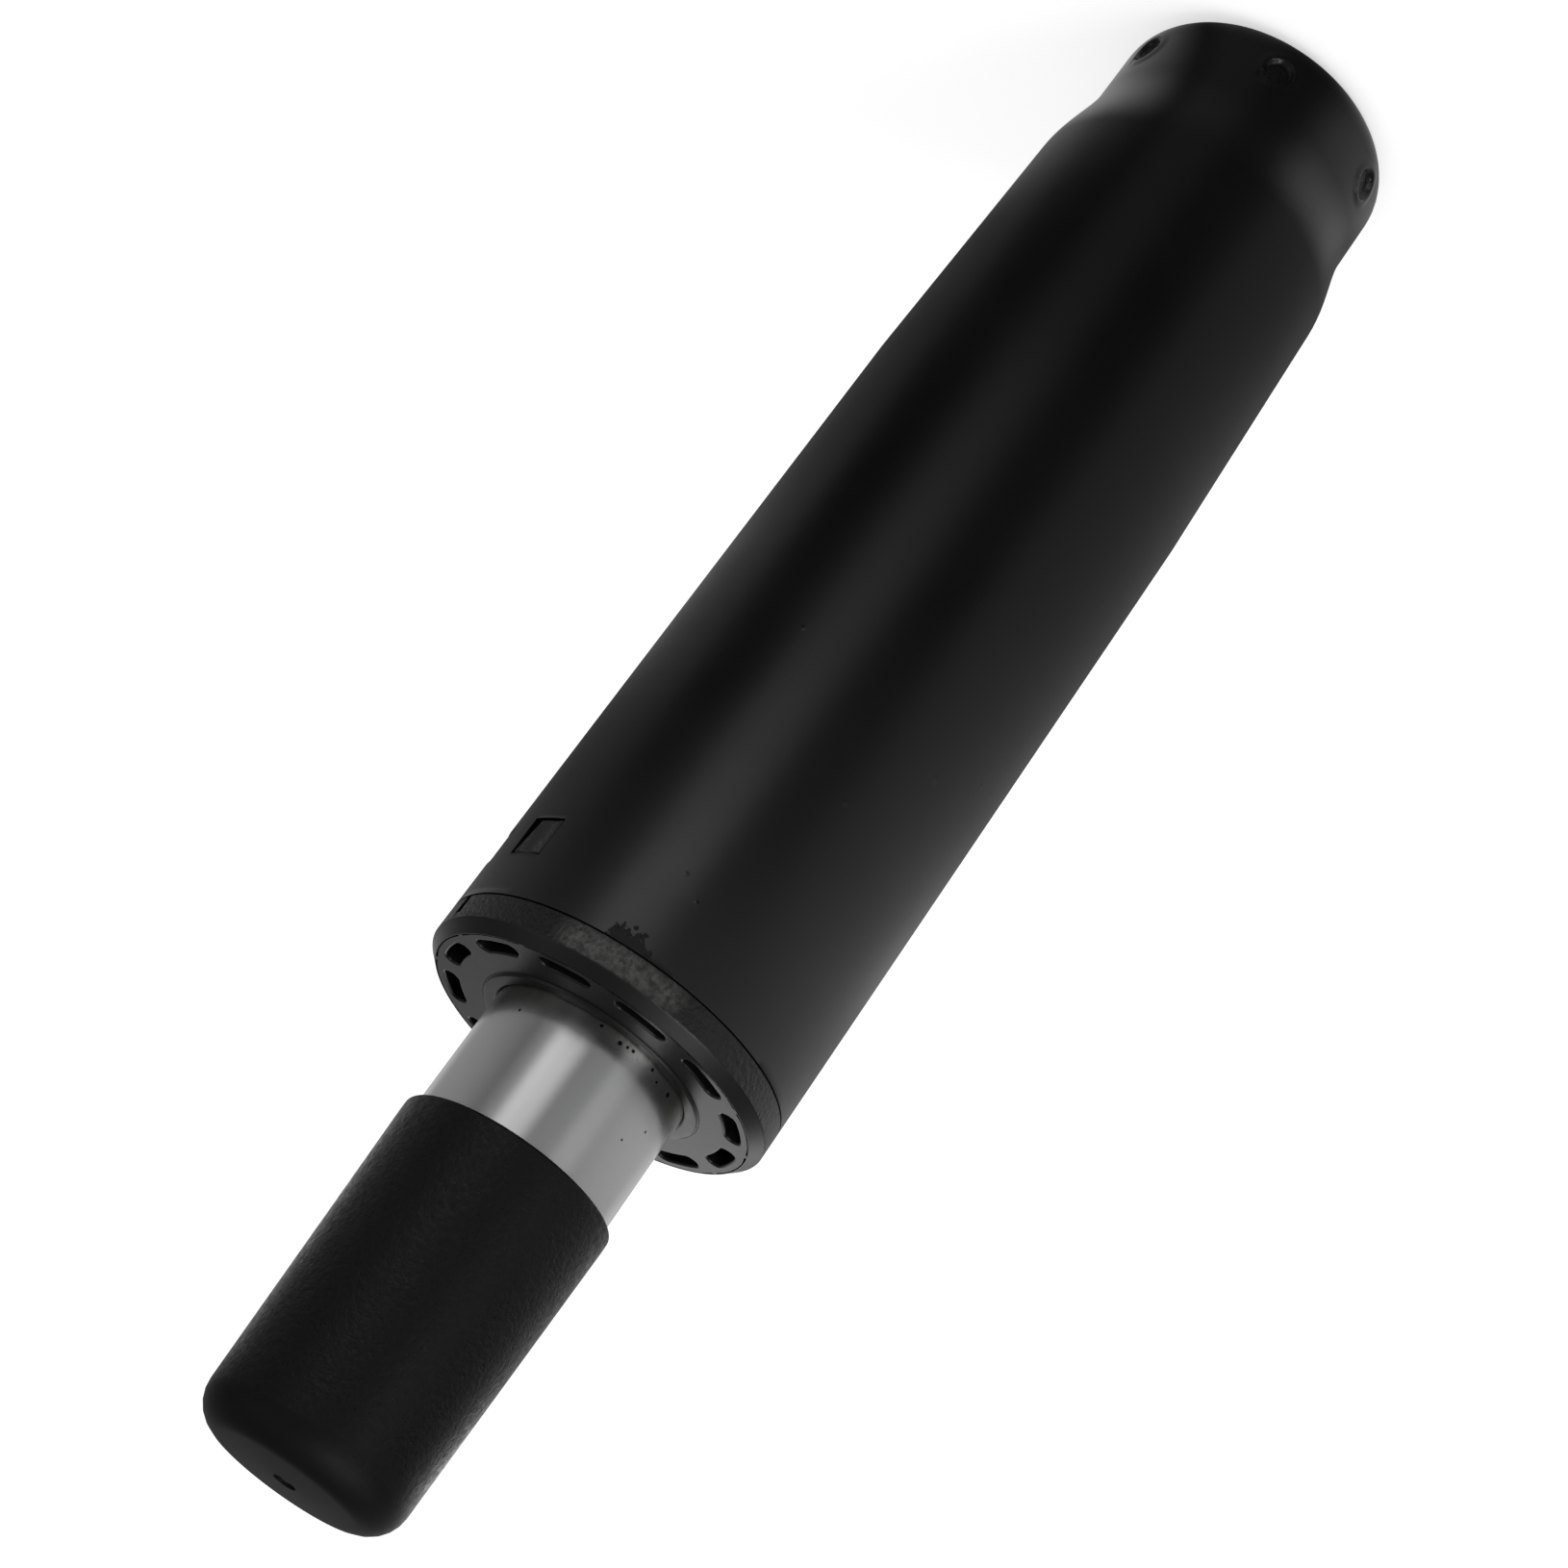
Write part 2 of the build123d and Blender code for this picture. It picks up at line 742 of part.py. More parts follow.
# Valve body: spigot in the inner tube, neck with cross ports, collar sealed in the barrel
spigot_radius = inner_tube_bore - valve_fit_gap
valve_neck_radius = inner_tube_radius + valve_neck_step
pin_bore = pin_radius + pin_gap
groove_half = valve_ring_section + valve_ring_gap
collar_ring_height = valve_top - collar_ring_drop
collar_ring_outer = taper_bore(collar_ring_height + groove_half) - valve_ring_gap
collar_groove_radius = collar_ring_outer - 2 * valve_ring_section - valve_ring_gap
spigot_ring_height = spigot_bottom + spigot_ring_lift
spigot_ring_outer = inner_tube_bore - valve_ring_gap
spigot_groove_radius = spigot_ring_outer - 2 * valve_ring_section - valve_ring_gap
pin_ring_height = valve_top - pin_ring_drop
pin_groove_half = pin_ring_section + valve_ring_gap
pin_groove_radius = pin_radius + 2 * pin_ring_section + 2 * valve_ring_gap
seat_pocket_top = spigot_bottom + seat_ring_top
cross_port_height = inner_tube_top + cross_port_lift

with BuildPart() as valve_body:
    with BuildSketch(Plane.XZ):
        with BuildLine():
            Polyline(
                (seat_pocket_radius, spigot_bottom),
                (spigot_radius, spigot_bottom),
                (spigot_radius, spigot_ring_height - groove_half),
                (spigot_groove_radius, spigot_ring_height - groove_half),
                (spigot_groove_radius, spigot_ring_height + groove_half),
                (spigot_radius, spigot_ring_height + groove_half),
                (spigot_radius, inner_tube_top),
                (valve_neck_radius, inner_tube_top),
                (valve_neck_radius, valve_collar_bottom),
                (taper_bore(valve_collar_bottom) - valve_fit_gap, valve_collar_bottom),
                (taper_bore(collar_ring_height - groove_half) - valve_fit_gap, collar_ring_height - groove_half),
                (collar_groove_radius, collar_ring_height - groove_half),
                (collar_groove_radius, collar_ring_height + groove_half),
                (taper_bore(collar_ring_height + groove_half) - valve_fit_gap, collar_ring_height + groove_half),
                (taper_bore(valve_top) - valve_fit_gap, valve_top),
                (pin_bore, valve_top),
                (pin_bore, pin_ring_height + pin_groove_half),
                (pin_groove_radius, pin_ring_height + pin_groove_half),
                (pin_groove_radius, pin_ring_height - pin_groove_half),
                (pin_bore, pin_ring_height - pin_groove_half),
                (pin_bore, seat_pocket_top),
                (seat_pocket_radius, seat_pocket_top),
                close=True,
            )
        make_face()
    revolve(axis=Axis.Z)
    for number in range(port_count):
        with BuildSketch(facing_plane(number * 360 / port_count, cross_port_height)):
            Circle(cross_port_radius)
        extrude(amount=valve_neck_radius + overrun, mode=Mode.SUBTRACT)
write(valve_body, "valve_body")

with BuildPart() as valve_outer_o_ring:
    with BuildSketch(Plane.XZ):
        with Locations((collar_ring_outer - valve_ring_section, collar_ring_height)):
            Circle(valve_ring_section)
    revolve(axis=Axis.Z)
write(valve_outer_o_ring, "valve_outer_o_ring")

with BuildPart() as valve_spigot_o_ring:
    with BuildSketch(Plane.XZ):
        with Locations((spigot_ring_outer - valve_ring_section, spigot_ring_height)):
            Circle(valve_ring_section)
    revolve(axis=Axis.Z)
write(valve_spigot_o_ring, "valve_spigot_o_ring")

with BuildPart() as valve_pin_o_ring:
    with BuildSketch(Plane.XZ):
        with Locations((pin_radius + valve_ring_gap + pin_ring_section, pin_ring_height)):
            Circle(pin_ring_section)
    revolve(axis=Axis.Z)
write(valve_pin_o_ring, "valve_pin_o_ring")

seat_ring_bottom = seat_pocket_top - seat_ring_thickness

with BuildPart() as valve_seat_ring:
    with BuildSketch(Plane.XY.offset(seat_ring_bottom)):
        Circle(seat_pocket_radius - valve_ring_gap)
        Circle(pin_bore, mode=Mode.SUBTRACT)
    extrude(amount=seat_ring_thickness - valve_ring_gap)
write(valve_seat_ring, "valve_seat_ring")

# Button guide: cup between the valve body and the barrel's rolled end
guide_cup_top = barrel_top - barrel_wall - valve_ring_gap
guide_cup_bottom = valve_top + valve_ring_gap
guide_cup_roof = barrel_top - barrel_wall - button_guide_roof
guide_top_radius = taper_bore(upper_inner_height) - upper_inner_round
guide_side_height = upper_inner_height - valve_ring_gap
button_bore = button_radius + button_gap

with BuildPart() as button_guide:
    with BuildSketch(Plane.XZ):
        with BuildLine():
            Polyline(
                (taper_bore(guide_cup_bottom) - valve_fit_gap, guide_cup_bottom),
                (taper_bore(guide_side_height) - valve_fit_gap, guide_side_height),
                (guide_top_radius, guide_cup_top),
                (button_bore, guide_cup_top),
                (button_bore, guide_cup_roof),
                (taper_bore(guide_cup_bottom) - valve_fit_gap - button_guide_wall, guide_cup_roof),
                (taper_bore(guide_cup_bottom) - valve_fit_gap - button_guide_wall, guide_cup_bottom),
                close=True,
            )
        make_face()
    revolve(axis=Axis.Z)
write(button_guide, "button_guide")

# Valve pin and release button, which move together
button_top = barrel_top + button_rise
button_bottom = valve_top + press_travel + press_reserve
collar_top = button_bottom + button_collar_thickness
pin_top = button_bottom + pin_socket_depth - valve_ring_gap
pin_head_top = seat_ring_bottom - pin_head_gap
pin_head_bottom = pin_head_top - pin_head_thickness
pin_waist_top = pin_head_top + pin_waist_length

with BuildPart() as valve_pin:
    with BuildSketch(Plane.XZ):
        with BuildLine():
            Polyline(
                (0, pin_head_bottom),
                (pin_head_radius, pin_head_bottom),
                (pin_head_radius, pin_head_top),
                (pin_waist_radius, pin_head_top),
                (pin_waist_radius, pin_waist_top),
                (pin_radius, pin_waist_top),
                (pin_radius, pin_top),
                (0, pin_top),
                close=True,
            )
        make_face()
    revolve(axis=Axis.Z)
write(valve_pin, "valve_pin")

with BuildPart() as release_button:
    with BuildSketch(Plane.XZ):
        with BuildLine():
            Polyline(
                (0, button_bottom + pin_socket_depth),
                (pin_radius + valve_ring_gap, button_bottom + pin_socket_depth),
                (pin_radius + valve_ring_gap, button_bottom),
                (button_collar_radius, button_bottom),
                (button_collar_radius, collar_top),
                (button_radius, collar_top),
                (button_radius, button_top - button_crown - button_edge),
            )
            TangentArc(
                (button_radius, button_top - button_crown - button_edge),
                (button_radius - button_edge, button_top - button_crown),
                tangent=(0, 1),
            )
            TangentArc(
                (0, button_top),
                (button_radius - button_edge, button_top - button_crown),
                tangent=(1, 0),
            )
            Line((0, button_top), (0, button_bottom + pin_socket_depth))
        make_face()
    revolve(axis=Axis.Z)
write(release_button, "release_button")

# Protective cap: soft cup on the seat taper, with a slight crown and a moulding gate mark
cap_mouth = seat_taper_start - cap_skirt
cap_inner_end = button_top + cap_button_gap
cap_top = cap_inner_end + cap_end_wall
cap_bore = barrel_radius + cap_fit_gap
cap_side_top = cap_top - cap_crown - cap_corner_round
cap_inner_round = cap_corner_round - cap_wall
cap_inner_side_top = cap_inner_end - cap_inner_round
cap_side_radius = cap_bore + cap_wall - (cap_side_top - seat_taper_start) * taper_slope
cap_inner_side_radius = cap_bore - (cap_inner_side_top - seat_taper_start) * taper_slope

with BuildPart() as protective_cap:
    with BuildSketch(Plane.XZ):
        with BuildLine():
            TangentArc(
                (cap_bore + cap_wall - cap_lip_round, cap_mouth),
                (cap_bore + cap_wall, cap_mouth + cap_lip_round),
                tangent=(1, 0),
            )
            Polyline(
                (cap_bore + cap_wall, cap_mouth + cap_lip_round),
                (cap_bore + cap_wall, seat_taper_start),
                (cap_side_radius, cap_side_top),
            )
            TangentArc(
                (cap_side_radius, cap_side_top),
                (cap_side_radius - cap_corner_round, cap_top - cap_crown),
                tangent=(0, 1),
            )
            TangentArc(
                (0, cap_top),
                (cap_side_radius - cap_corner_round, cap_top - cap_crown),
                tangent=(1, 0),
            )
            Polyline(
                (0, cap_top),
                (0, cap_inner_end),
                (cap_inner_side_radius - cap_inner_round, cap_inner_end),
            )
            TangentArc(
                (cap_inner_side_radius, cap_inner_side_top),
                (cap_inner_side_radius - cap_inner_round, cap_inner_end),
                tangent=(0, 1),
            )
            Polyline(
                (cap_inner_side_radius, cap_inner_side_top),
                (cap_bore, seat_taper_start),
                (cap_bore, cap_mouth),
                (cap_bore + cap_wall - cap_lip_round, cap_mouth),
            )
        make_face()
    revolve(axis=Axis.Z)
    with BuildSketch(Plane.XY.offset(cap_top - gate_mark_depth)):
        Circle(gate_mark_radius)
        Circle(gate_nub_radius, mode=Mode.SUBTRACT)
    extrude(amount=gate_mark_depth + overrun, mode=Mode.SUBTRACT)
write(protective_cap, "protective_cap")
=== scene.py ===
# %% [markdown]
# The gas lift column of a swivel chair, fully lowered, with a soft cap on its upper taper.
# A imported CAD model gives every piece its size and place. This lesson gives the pieces their looks:
# gloss paint, moulded nylon, ground steel and matt rubber-like plastic, on meshes with soft edges.

# %% The frame and its units
import json
from math import asin, ceil, cos, degrees, pi, radians, sin, tan

import bmesh
import bpy
from mathutils import Euler, Matrix, Vector


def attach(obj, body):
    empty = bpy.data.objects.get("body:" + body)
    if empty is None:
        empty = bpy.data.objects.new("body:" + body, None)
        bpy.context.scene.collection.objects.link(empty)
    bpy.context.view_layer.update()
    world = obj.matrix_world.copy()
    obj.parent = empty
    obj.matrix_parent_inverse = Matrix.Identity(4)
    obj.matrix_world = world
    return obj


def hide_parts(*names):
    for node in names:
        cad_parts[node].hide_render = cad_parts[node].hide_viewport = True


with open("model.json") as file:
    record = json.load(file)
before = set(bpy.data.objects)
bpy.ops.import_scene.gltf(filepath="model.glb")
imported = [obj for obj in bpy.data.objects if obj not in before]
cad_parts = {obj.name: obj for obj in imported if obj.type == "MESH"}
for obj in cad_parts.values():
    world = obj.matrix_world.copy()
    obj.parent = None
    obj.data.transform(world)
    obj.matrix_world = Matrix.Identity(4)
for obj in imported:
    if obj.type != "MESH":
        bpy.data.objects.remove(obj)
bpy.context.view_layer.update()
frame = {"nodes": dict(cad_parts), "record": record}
scene = bpy.context.scene
MM = 0.001

# %% [markdown]
# Shader and geometry trees are both made of nodes, settings and links, so one small helper serves
# both. Its inputs are a list in the order of the node's sockets, or a dictionary by their names. An
# input that is a node or a socket becomes a link, and any other value is written on the socket.

# %% Colours and nodes
NOISE_SPAN = (0.3, 0.7)  # where most of a noise's values lie
NOISE_CORE = (0.35, 0.65)  # a narrower span, for more contrast


def linear(colour):
    """The linear colour, with its alpha, of an sRGB hex value."""
    channels = [int(colour[place : place + 2], 16) / 255 for place in (1, 3, 5)]
    return [c / 12.92 if c <= 0.04045 else ((c + 0.055) / 1.055) ** 2.4 for c in channels] + [1]


def feed(node, inputs):
    """Sets or links a node's inputs, in the sockets' order or by their names."""
    for socket, value in inputs.items() if isinstance(inputs, dict) else enumerate(inputs):
        if isinstance(value, bpy.types.Node):
            value = value.outputs[0]
        if isinstance(value, bpy.types.NodeSocket):
            node.id_data.links.new(value, node.inputs[socket])
        else:
            node.inputs[socket].default_value = value


def add_node(tree, kind, inputs=(), **settings):
    """A new node of this kind, with its settings, and its inputs set or linked."""
    node = tree.nodes.new(kind)
    for name, value in settings.items():
        setattr(node, name, value)
    feed(node, inputs)
    return node


def new_finish(name, colour, roughness, metallic=0.0, specular=0.5):
    """A material with a plain shader, and its tree, shader and place on the object in millimetres."""
    material = bpy.data.materials.new(name)
    material.use_nodes = True
    tree = material.node_tree
    shader = tree.nodes["Principled BSDF"]
    feed(shader, {"Base Color": linear(colour), "Roughness": roughness})
    feed(shader, {"Metallic": metallic, "Specular IOR Level": specular})
    metres = add_node(tree, "ShaderNodeTexCoord").outputs["Object"]
    place = add_node(tree, "ShaderNodeVectorMath", [metres, [1 / MM] * 3], operation="MULTIPLY")
    return material, tree, shader, place


# %% [markdown]
# Real surfaces differ in shape only by microns, but the eye reads those microns in the highlights.
# A bump node takes a height in metres, so each finish states how deep its texture really is. Marks
# such as dust and chips lie at known places, so they are drawn as spots round those places.

# %% Places and spots


def around(radius, angle, height):
    """The point at this radius, angle in degrees and height."""
    return Vector((radius * cos(radians(angle)), radius * sin(radians(angle)), height))


def axis_distance(tree, place):
    """How far a place is from the axis."""
    flat = add_node(tree, "ShaderNodeVectorMath", [place, (1, 1, 0)], operation="MULTIPLY")
    return add_node(tree, "ShaderNodeVectorMath", [flat], operation="LENGTH").outputs["Value"]


def spot_mask(tree, place, radius, spots, softness):
    """1 inside any of the round spots, each an angle, a height and a size, on a cylinder."""
    mask = 0.0
    for angle, height, size in spots:
        centre = around(radius, angle, height)
        gap = add_node(tree, "ShaderNodeVectorMath", [place, centre], operation="DISTANCE")
        inputs = [gap.outputs["Value"], size * (1 - softness), size, 1, 0]
        inside = add_node(tree, "ShaderNodeMapRange", inputs, interpolation_type="SMOOTHSTEP")
        mask = add_node(tree, "ShaderNodeMath", [mask, inside], operation="MAXIMUM")
    return mask


# %% [markdown]
# The column is a drawn steel tube with stoved black enamel. Enamel is glossy with a faint orange
# peel and a few dust nibs under it. At the upper rim a flake is chipped off and bares dull steel,
# and the punched stakes near the tail have a rough floor and a small dent where the punch slipped.
# All of it could be painted on an image, but spots and noise stay sharp at any distance.

# %% Column paint
COLUMN_RADIUS = 25.0
COLUMN_LENGTH = 176.6
PEEL_SIZE = 1.6
GLOSS_PATCH = 22.0
column_paint, tree, shader, place = new_finish("stoved black enamel", "#060606", 0.3)
peel = add_node(tree, "ShaderNodeTexNoise", {"Vector": place, "Scale": 1 / PEEL_SIZE, "Detail": 1.0})
patches = add_node(tree, "ShaderNodeTexNoise", {"Vector": place, "Scale": 1 / GLOSS_PATCH})
gloss = add_node(tree, "ShaderNodeMapRange", [patches, *NOISE_SPAN, 0.26, 0.34])

# %% Missing flake of paint
CHIP_ANGLE = -80.0
CHIP_SQUASH = 1.25
CHIP_REACH = 2.5
CHIP_EDGE = 0.25
CHIP_RAGGED = 1.5
CHIP_GRAIN = 1.3
chip_crumbs = ((-79.6, 174.0, 0.32), (-86.5, 175.9, 0.5))
inputs = {"Vector": place, "Scale": 1 / CHIP_GRAIN, "Detail": 4.0, "Roughness": 0.6}
flake = add_node(tree, "ShaderNodeTexNoise", inputs)
ragged = add_node(tree, "ShaderNodeMapRange", [flake, *NOISE_SPAN, -CHIP_RAGGED, CHIP_RAGGED])
squashed = add_node(tree, "ShaderNodeVectorMath", [place, (1, 1, CHIP_SQUASH)], operation="MULTIPLY")
centre = around(COLUMN_RADIUS, CHIP_ANGLE, COLUMN_LENGTH * CHIP_SQUASH)
reach = add_node(tree, "ShaderNodeVectorMath", [squashed, centre], operation="DISTANCE")
reach = add_node(tree, "ShaderNodeMath", [reach.outputs["Value"], ragged])
chip = add_node(tree, "ShaderNodeMapRange", [reach, CHIP_REACH, CHIP_REACH + CHIP_EDGE, 1, 0])
crumbs = spot_mask(tree, place, COLUMN_RADIUS, chip_crumbs, softness=0.4)
chip = add_node(tree, "ShaderNodeMath", [chip, crumbs], operation="MAXIMUM")

# %% Dust and punch marks
TAIL_RADIUS = 21.7
STAKE_COUNT = 6
STAKE_FIRST_ANGLE = -84.3
STAKE_HEIGHT = 8.0
TORN_RADIUS = 2.7
TORN_SIZE = 1.1
SLIP_RADIUS = 1.2
SLIP_ANGLE = 4.4
SLIP_RISE = 2.0
dust_nibs = (
    (-82, 164.6, 0.5),
    (-89, 167.0, 0.45),
    (-107, 144.0, 0.5),
    (-127, 132.0, 0.8),
    (-146, 126.0, 0.5),
    (-67, 127.0, 0.5),
    (-60, 64.0, 0.45),
    (-96, 88.0, 0.45),
)
nibs = spot_mask(tree, place, COLUMN_RADIUS, dust_nibs, softness=1.0)
stake_angles = [STAKE_FIRST_ANGLE + number * 360 / STAKE_COUNT for number in range(STAKE_COUNT)]
pits = [(angle, STAKE_HEIGHT, TORN_RADIUS) for angle in stake_angles]
pits = spot_mask(tree, place, TAIL_RADIUS, pits, softness=0.4)
torn = add_node(tree, "ShaderNodeTexNoise", {"Vector": place, "Scale": 1 / TORN_SIZE, "Detail": 2.0})
torn = add_node(tree, "ShaderNodeMath", [torn, pits], operation="MULTIPLY")
slips = [(angle + SLIP_ANGLE, STAKE_HEIGHT + SLIP_RISE, SLIP_RADIUS) for angle in stake_angles]
slips = spot_mask(tree, place, TAIL_RADIUS, slips, softness=0.6)

# %% Relief of the paint
PEEL_DEPTH = 0.004
NIB_HEIGHT = 0.03
TORN_DEPTH = 0.35
SLIP_DEPTH = 0.3
PAINT_THICKNESS = 0.12
CHIP_DULLNESS = 0.35
relief = add_node(tree, "ShaderNodeBump", {"Height": peel, "Distance": PEEL_DEPTH * MM})
relief = add_node(tree, "ShaderNodeBump", {"Height": nibs, "Distance": NIB_HEIGHT * MM, "Normal": relief})
relief = add_node(tree, "ShaderNodeBump", {"Height": torn, "Distance": TORN_DEPTH * MM, "Normal": relief})
dents = add_node(tree, "ShaderNodeMath", [slips, SLIP_DEPTH], operation="MULTIPLY")
dents = add_node(tree, "ShaderNodeMath", [chip, PAINT_THICKNESS, dents], operation="MULTIPLY_ADD")
inputs = {"Height": dents, "Distance": MM, "Normal": relief}
relief = add_node(tree, "ShaderNodeBump", inputs, invert=True)
dull = add_node(tree, "ShaderNodeMath", [chip, CHIP_DULLNESS], operation="MULTIPLY")
roughness = add_node(tree, "ShaderNodeMath", [gloss, dull])
feed(shader, {"Normal": relief, "Roughness": roughness})
print("column paint:", len(tree.nodes), "nodes")

# %% [markdown]
# The bushing is moulded in black nylon. Its band is spark-eroded in the mould, which leaves a grain
# that glitters in the light, while the face and the bevel are smoother. The real grain is about a
# third of a millimetre wide, and is drawn twice as coarse to show. Where the band faces the front, a
# lighter grey speckled by the grain is painted on it as a highlight.
# The piece could have three materials, but masks of height and radius keep it in one. A Mix node of
# colours has them in its seventh and eighth sockets, and they leave by the third.

# %% Bushing plastic
FLANGE_TOP = 182.0
BEVEL_FOOT = 180.6
BAND_FADE = 0.2
NOTCH_FADE = 0.1
BUSHING_COLOUR = "#0C0C0C"
bushing_plastic, tree, shader, place = new_finish("moulded black nylon", BUSHING_COLOUR, 0.36)
height = add_node(tree, "ShaderNodeSeparateXYZ", [place]).outputs["Z"]
below_bevel = add_node(tree, "ShaderNodeMapRange", [height, BEVEL_FOOT - BAND_FADE, BEVEL_FOOT, 1, 0])
radius = axis_distance(tree, place)
notch_inside = COLUMN_RADIUS - NOTCH_FADE
outside = add_node(tree, "ShaderNodeMapRange", [radius, notch_inside - NOTCH_FADE, notch_inside, 0, 1])
on_band = add_node(tree, "ShaderNodeMath", [below_bevel, outside], operation="MULTIPLY")
in_notch = add_node(tree, "ShaderNodeMath", [below_bevel, on_band], operation="SUBTRACT")
roughness = add_node(tree, "ShaderNodeMapRange", [in_notch, 0, 1, 0.38, 0.16])

# %% Grain and painted highlight of the band
GRAIN_SIZE = 0.65
GRAIN_DEPTH = 0.18
FLOW_SIZE = 2.5
FLOW_DEPTH = 0.012
PAINTED_HIGHLIGHT_HEIGHT = 178.8
PAINTED_HIGHLIGHT_RADIUS = 3.6
PAINTED_HIGHLIGHT_COLOUR = "#4C4C4A"
painted_highlight_angles = range(-67, -101, -6)
grain = add_node(tree, "ShaderNodeTexNoise", {"Vector": place, "Scale": 1 / GRAIN_SIZE, "Detail": 3.0})
band_grain = add_node(tree, "ShaderNodeMath", [grain, on_band], operation="MULTIPLY")
flow = add_node(tree, "ShaderNodeTexNoise", {"Vector": place, "Scale": 1 / FLOW_SIZE})
relief = add_node(tree, "ShaderNodeBump", {"Height": band_grain, "Distance": GRAIN_DEPTH * MM})
relief = add_node(tree, "ShaderNodeBump", {"Height": flow, "Distance": FLOW_DEPTH * MM, "Normal": relief})
# A painted highlight: a lighter grey on the front of the band, speckled by the grain, widens its highlight.
painted_highlight_spots = [(angle, PAINTED_HIGHLIGHT_HEIGHT, PAINTED_HIGHLIGHT_RADIUS) for angle in painted_highlight_angles]
painted_highlight = spot_mask(tree, place, COLUMN_RADIUS, painted_highlight_spots, softness=1.0)
painted_highlight = add_node(tree, "ShaderNodeMath", [painted_highlight, on_band], operation="MULTIPLY")
painted_highlight_specks = add_node(tree, "ShaderNodeMapRange", [grain, *NOISE_CORE, 0.2, 1.0])
painted_highlight = add_node(tree, "ShaderNodeMath", [painted_highlight, painted_highlight_specks], operation="MULTIPLY")
inputs = {0: painted_highlight, 6: linear(BUSHING_COLOUR), 7: linear(PAINTED_HIGHLIGHT_COLOUR)}
band_with_painted_highlight = add_node(tree, "ShaderNodeMix", inputs, data_type="RGBA").outputs[2]
feed(shader, {"Normal": relief, "Roughness": roughness, "Base Color": band_with_painted_highlight})
print("bushing plastic:", len(tree.nodes), "nodes")

# %% [markdown]
# The barrel of the gas spring is centreless ground. The grinding lines run round it, so a highlight
# is spread up and down but stays narrow across, which is what anisotropy draws. Real lines would
# need a mesh of micron steps. A little grease from the bushing is smeared near the flange, with
# dirt in it.

# %% Ground steel
BARREL_RADIUS = 14.0
STEEL_COLOUR = "#C4C4C5"
STEEL_ROUGHNESS = 0.26
LINES = (0.05, 0.05, 6.0)  # changes in a millimetre: few round the barrel, many along it
ground_steel, tree, shader, place = new_finish("ground steel", STEEL_COLOUR, STEEL_ROUGHNESS, metallic=1.0)
tangent = add_node(tree, "ShaderNodeTangent", direction_type="RADIAL", axis="Z")
feed(shader, {"Anisotropic": 0.8, "Anisotropic Rotation": 0.25, "Tangent": tangent})
line_place = add_node(tree, "ShaderNodeVectorMath", [place, LINES], operation="MULTIPLY")
ground_lines = add_node(tree, "ShaderNodeTexNoise", {"Vector": line_place, "Scale": 1.0, "Detail": 3.0})

# %% Grease and dirt
CLOUD_SIZE = 2.2
grease_spots = (
    (-36.0, 182.0, 4.2),
    (-50.0, 182.0, 3.6),
    (-93.0, 182.0, 2.8),
    (-103.0, 182.0, 2.4),
    (-114.0, 181.8, 2.0),
    (-148.0, 182.6, 4.4),
    (60.0, 182.0, 4.5),
    (140.0, 182.0, 4.0),
)
dirt_spots = (
    (-98.2, 183.2, 0.42),
    (-102.6, 183.0, 0.28),
    (-106.1, 182.9, 0.33),
    (-120.7, 182.9, 0.36),
    (-127.0, 183.6, 0.28),
    (-138.6, 183.4, 0.45),
    (-85.7, 182.8, 0.3),
    (-42.4, 185.7, 0.26),
    (-130.0, 192.0, 0.2),
    (-141.0, 188.8, 0.22),
)
inputs = {"Vector": place, "Scale": 1 / CLOUD_SIZE, "Detail": 5.0, "Roughness": 0.6}
clouds = add_node(tree, "ShaderNodeTexNoise", inputs)
clouds = add_node(tree, "ShaderNodeMapRange", [clouds, *NOISE_SPAN, 0.5, 1.3])
grease = spot_mask(tree, place, BARREL_RADIUS, grease_spots, softness=1.0)
film = add_node(tree, "ShaderNodeMath", [grease, clouds], operation="MULTIPLY", use_clamp=True)
dirt = spot_mask(tree, place, BARREL_RADIUS, dirt_spots, softness=0.5)

# %% Looks of the steel under its grease
GREASE_ROUGHNESS = 0.5
GREASE_COLOUR = "#84837C"
DIRT_COLOUR = "#181818"
LINE_DEPTH = 0.0015
SMUDGE_SIZE = 1.2
SMUDGE_DEPTH = 0.03
soiled = add_node(tree, "ShaderNodeMath", [film, dirt], operation="MAXIMUM")
roughness = add_node(tree, "ShaderNodeMapRange", [soiled, 0, 1, STEEL_ROUGHNESS, GREASE_ROUGHNESS])
inputs = {0: film, 6: linear(STEEL_COLOUR), 7: linear(GREASE_COLOUR)}
oily = add_node(tree, "ShaderNodeMix", inputs, data_type="RGBA").outputs[2]
inputs = {0: dirt, 6: oily, 7: linear(DIRT_COLOUR)}
dirty = add_node(tree, "ShaderNodeMix", inputs, data_type="RGBA").outputs[2]
relief = add_node(tree, "ShaderNodeBump", {"Height": ground_lines, "Distance": LINE_DEPTH * MM})
smudges = add_node(tree, "ShaderNodeTexNoise", {"Vector": place, "Scale": 1 / SMUDGE_SIZE, "Detail": 3.0})
smudges = add_node(tree, "ShaderNodeMath", [smudges, film], operation="MULTIPLY")
inputs = {"Height": smudges, "Distance": SMUDGE_DEPTH * MM, "Normal": relief}
relief = add_node(tree, "ShaderNodeBump", inputs)
feed(shader, {"Normal": relief, "Roughness": roughness, "Base Color": dirty})
print("ground steel:", len(tree.nodes), "nodes")

# %% [markdown]
# The cap is soft polyethylene with a matt, grained skin: little gloss, lighter towards its edges. Its
# grain of about 0.3 mm is drawn at 0.8 mm, so that it shows as the speckle that the eye sees on it.
# The end is left smooth, as the mould's end is, so the grain fades out below it.

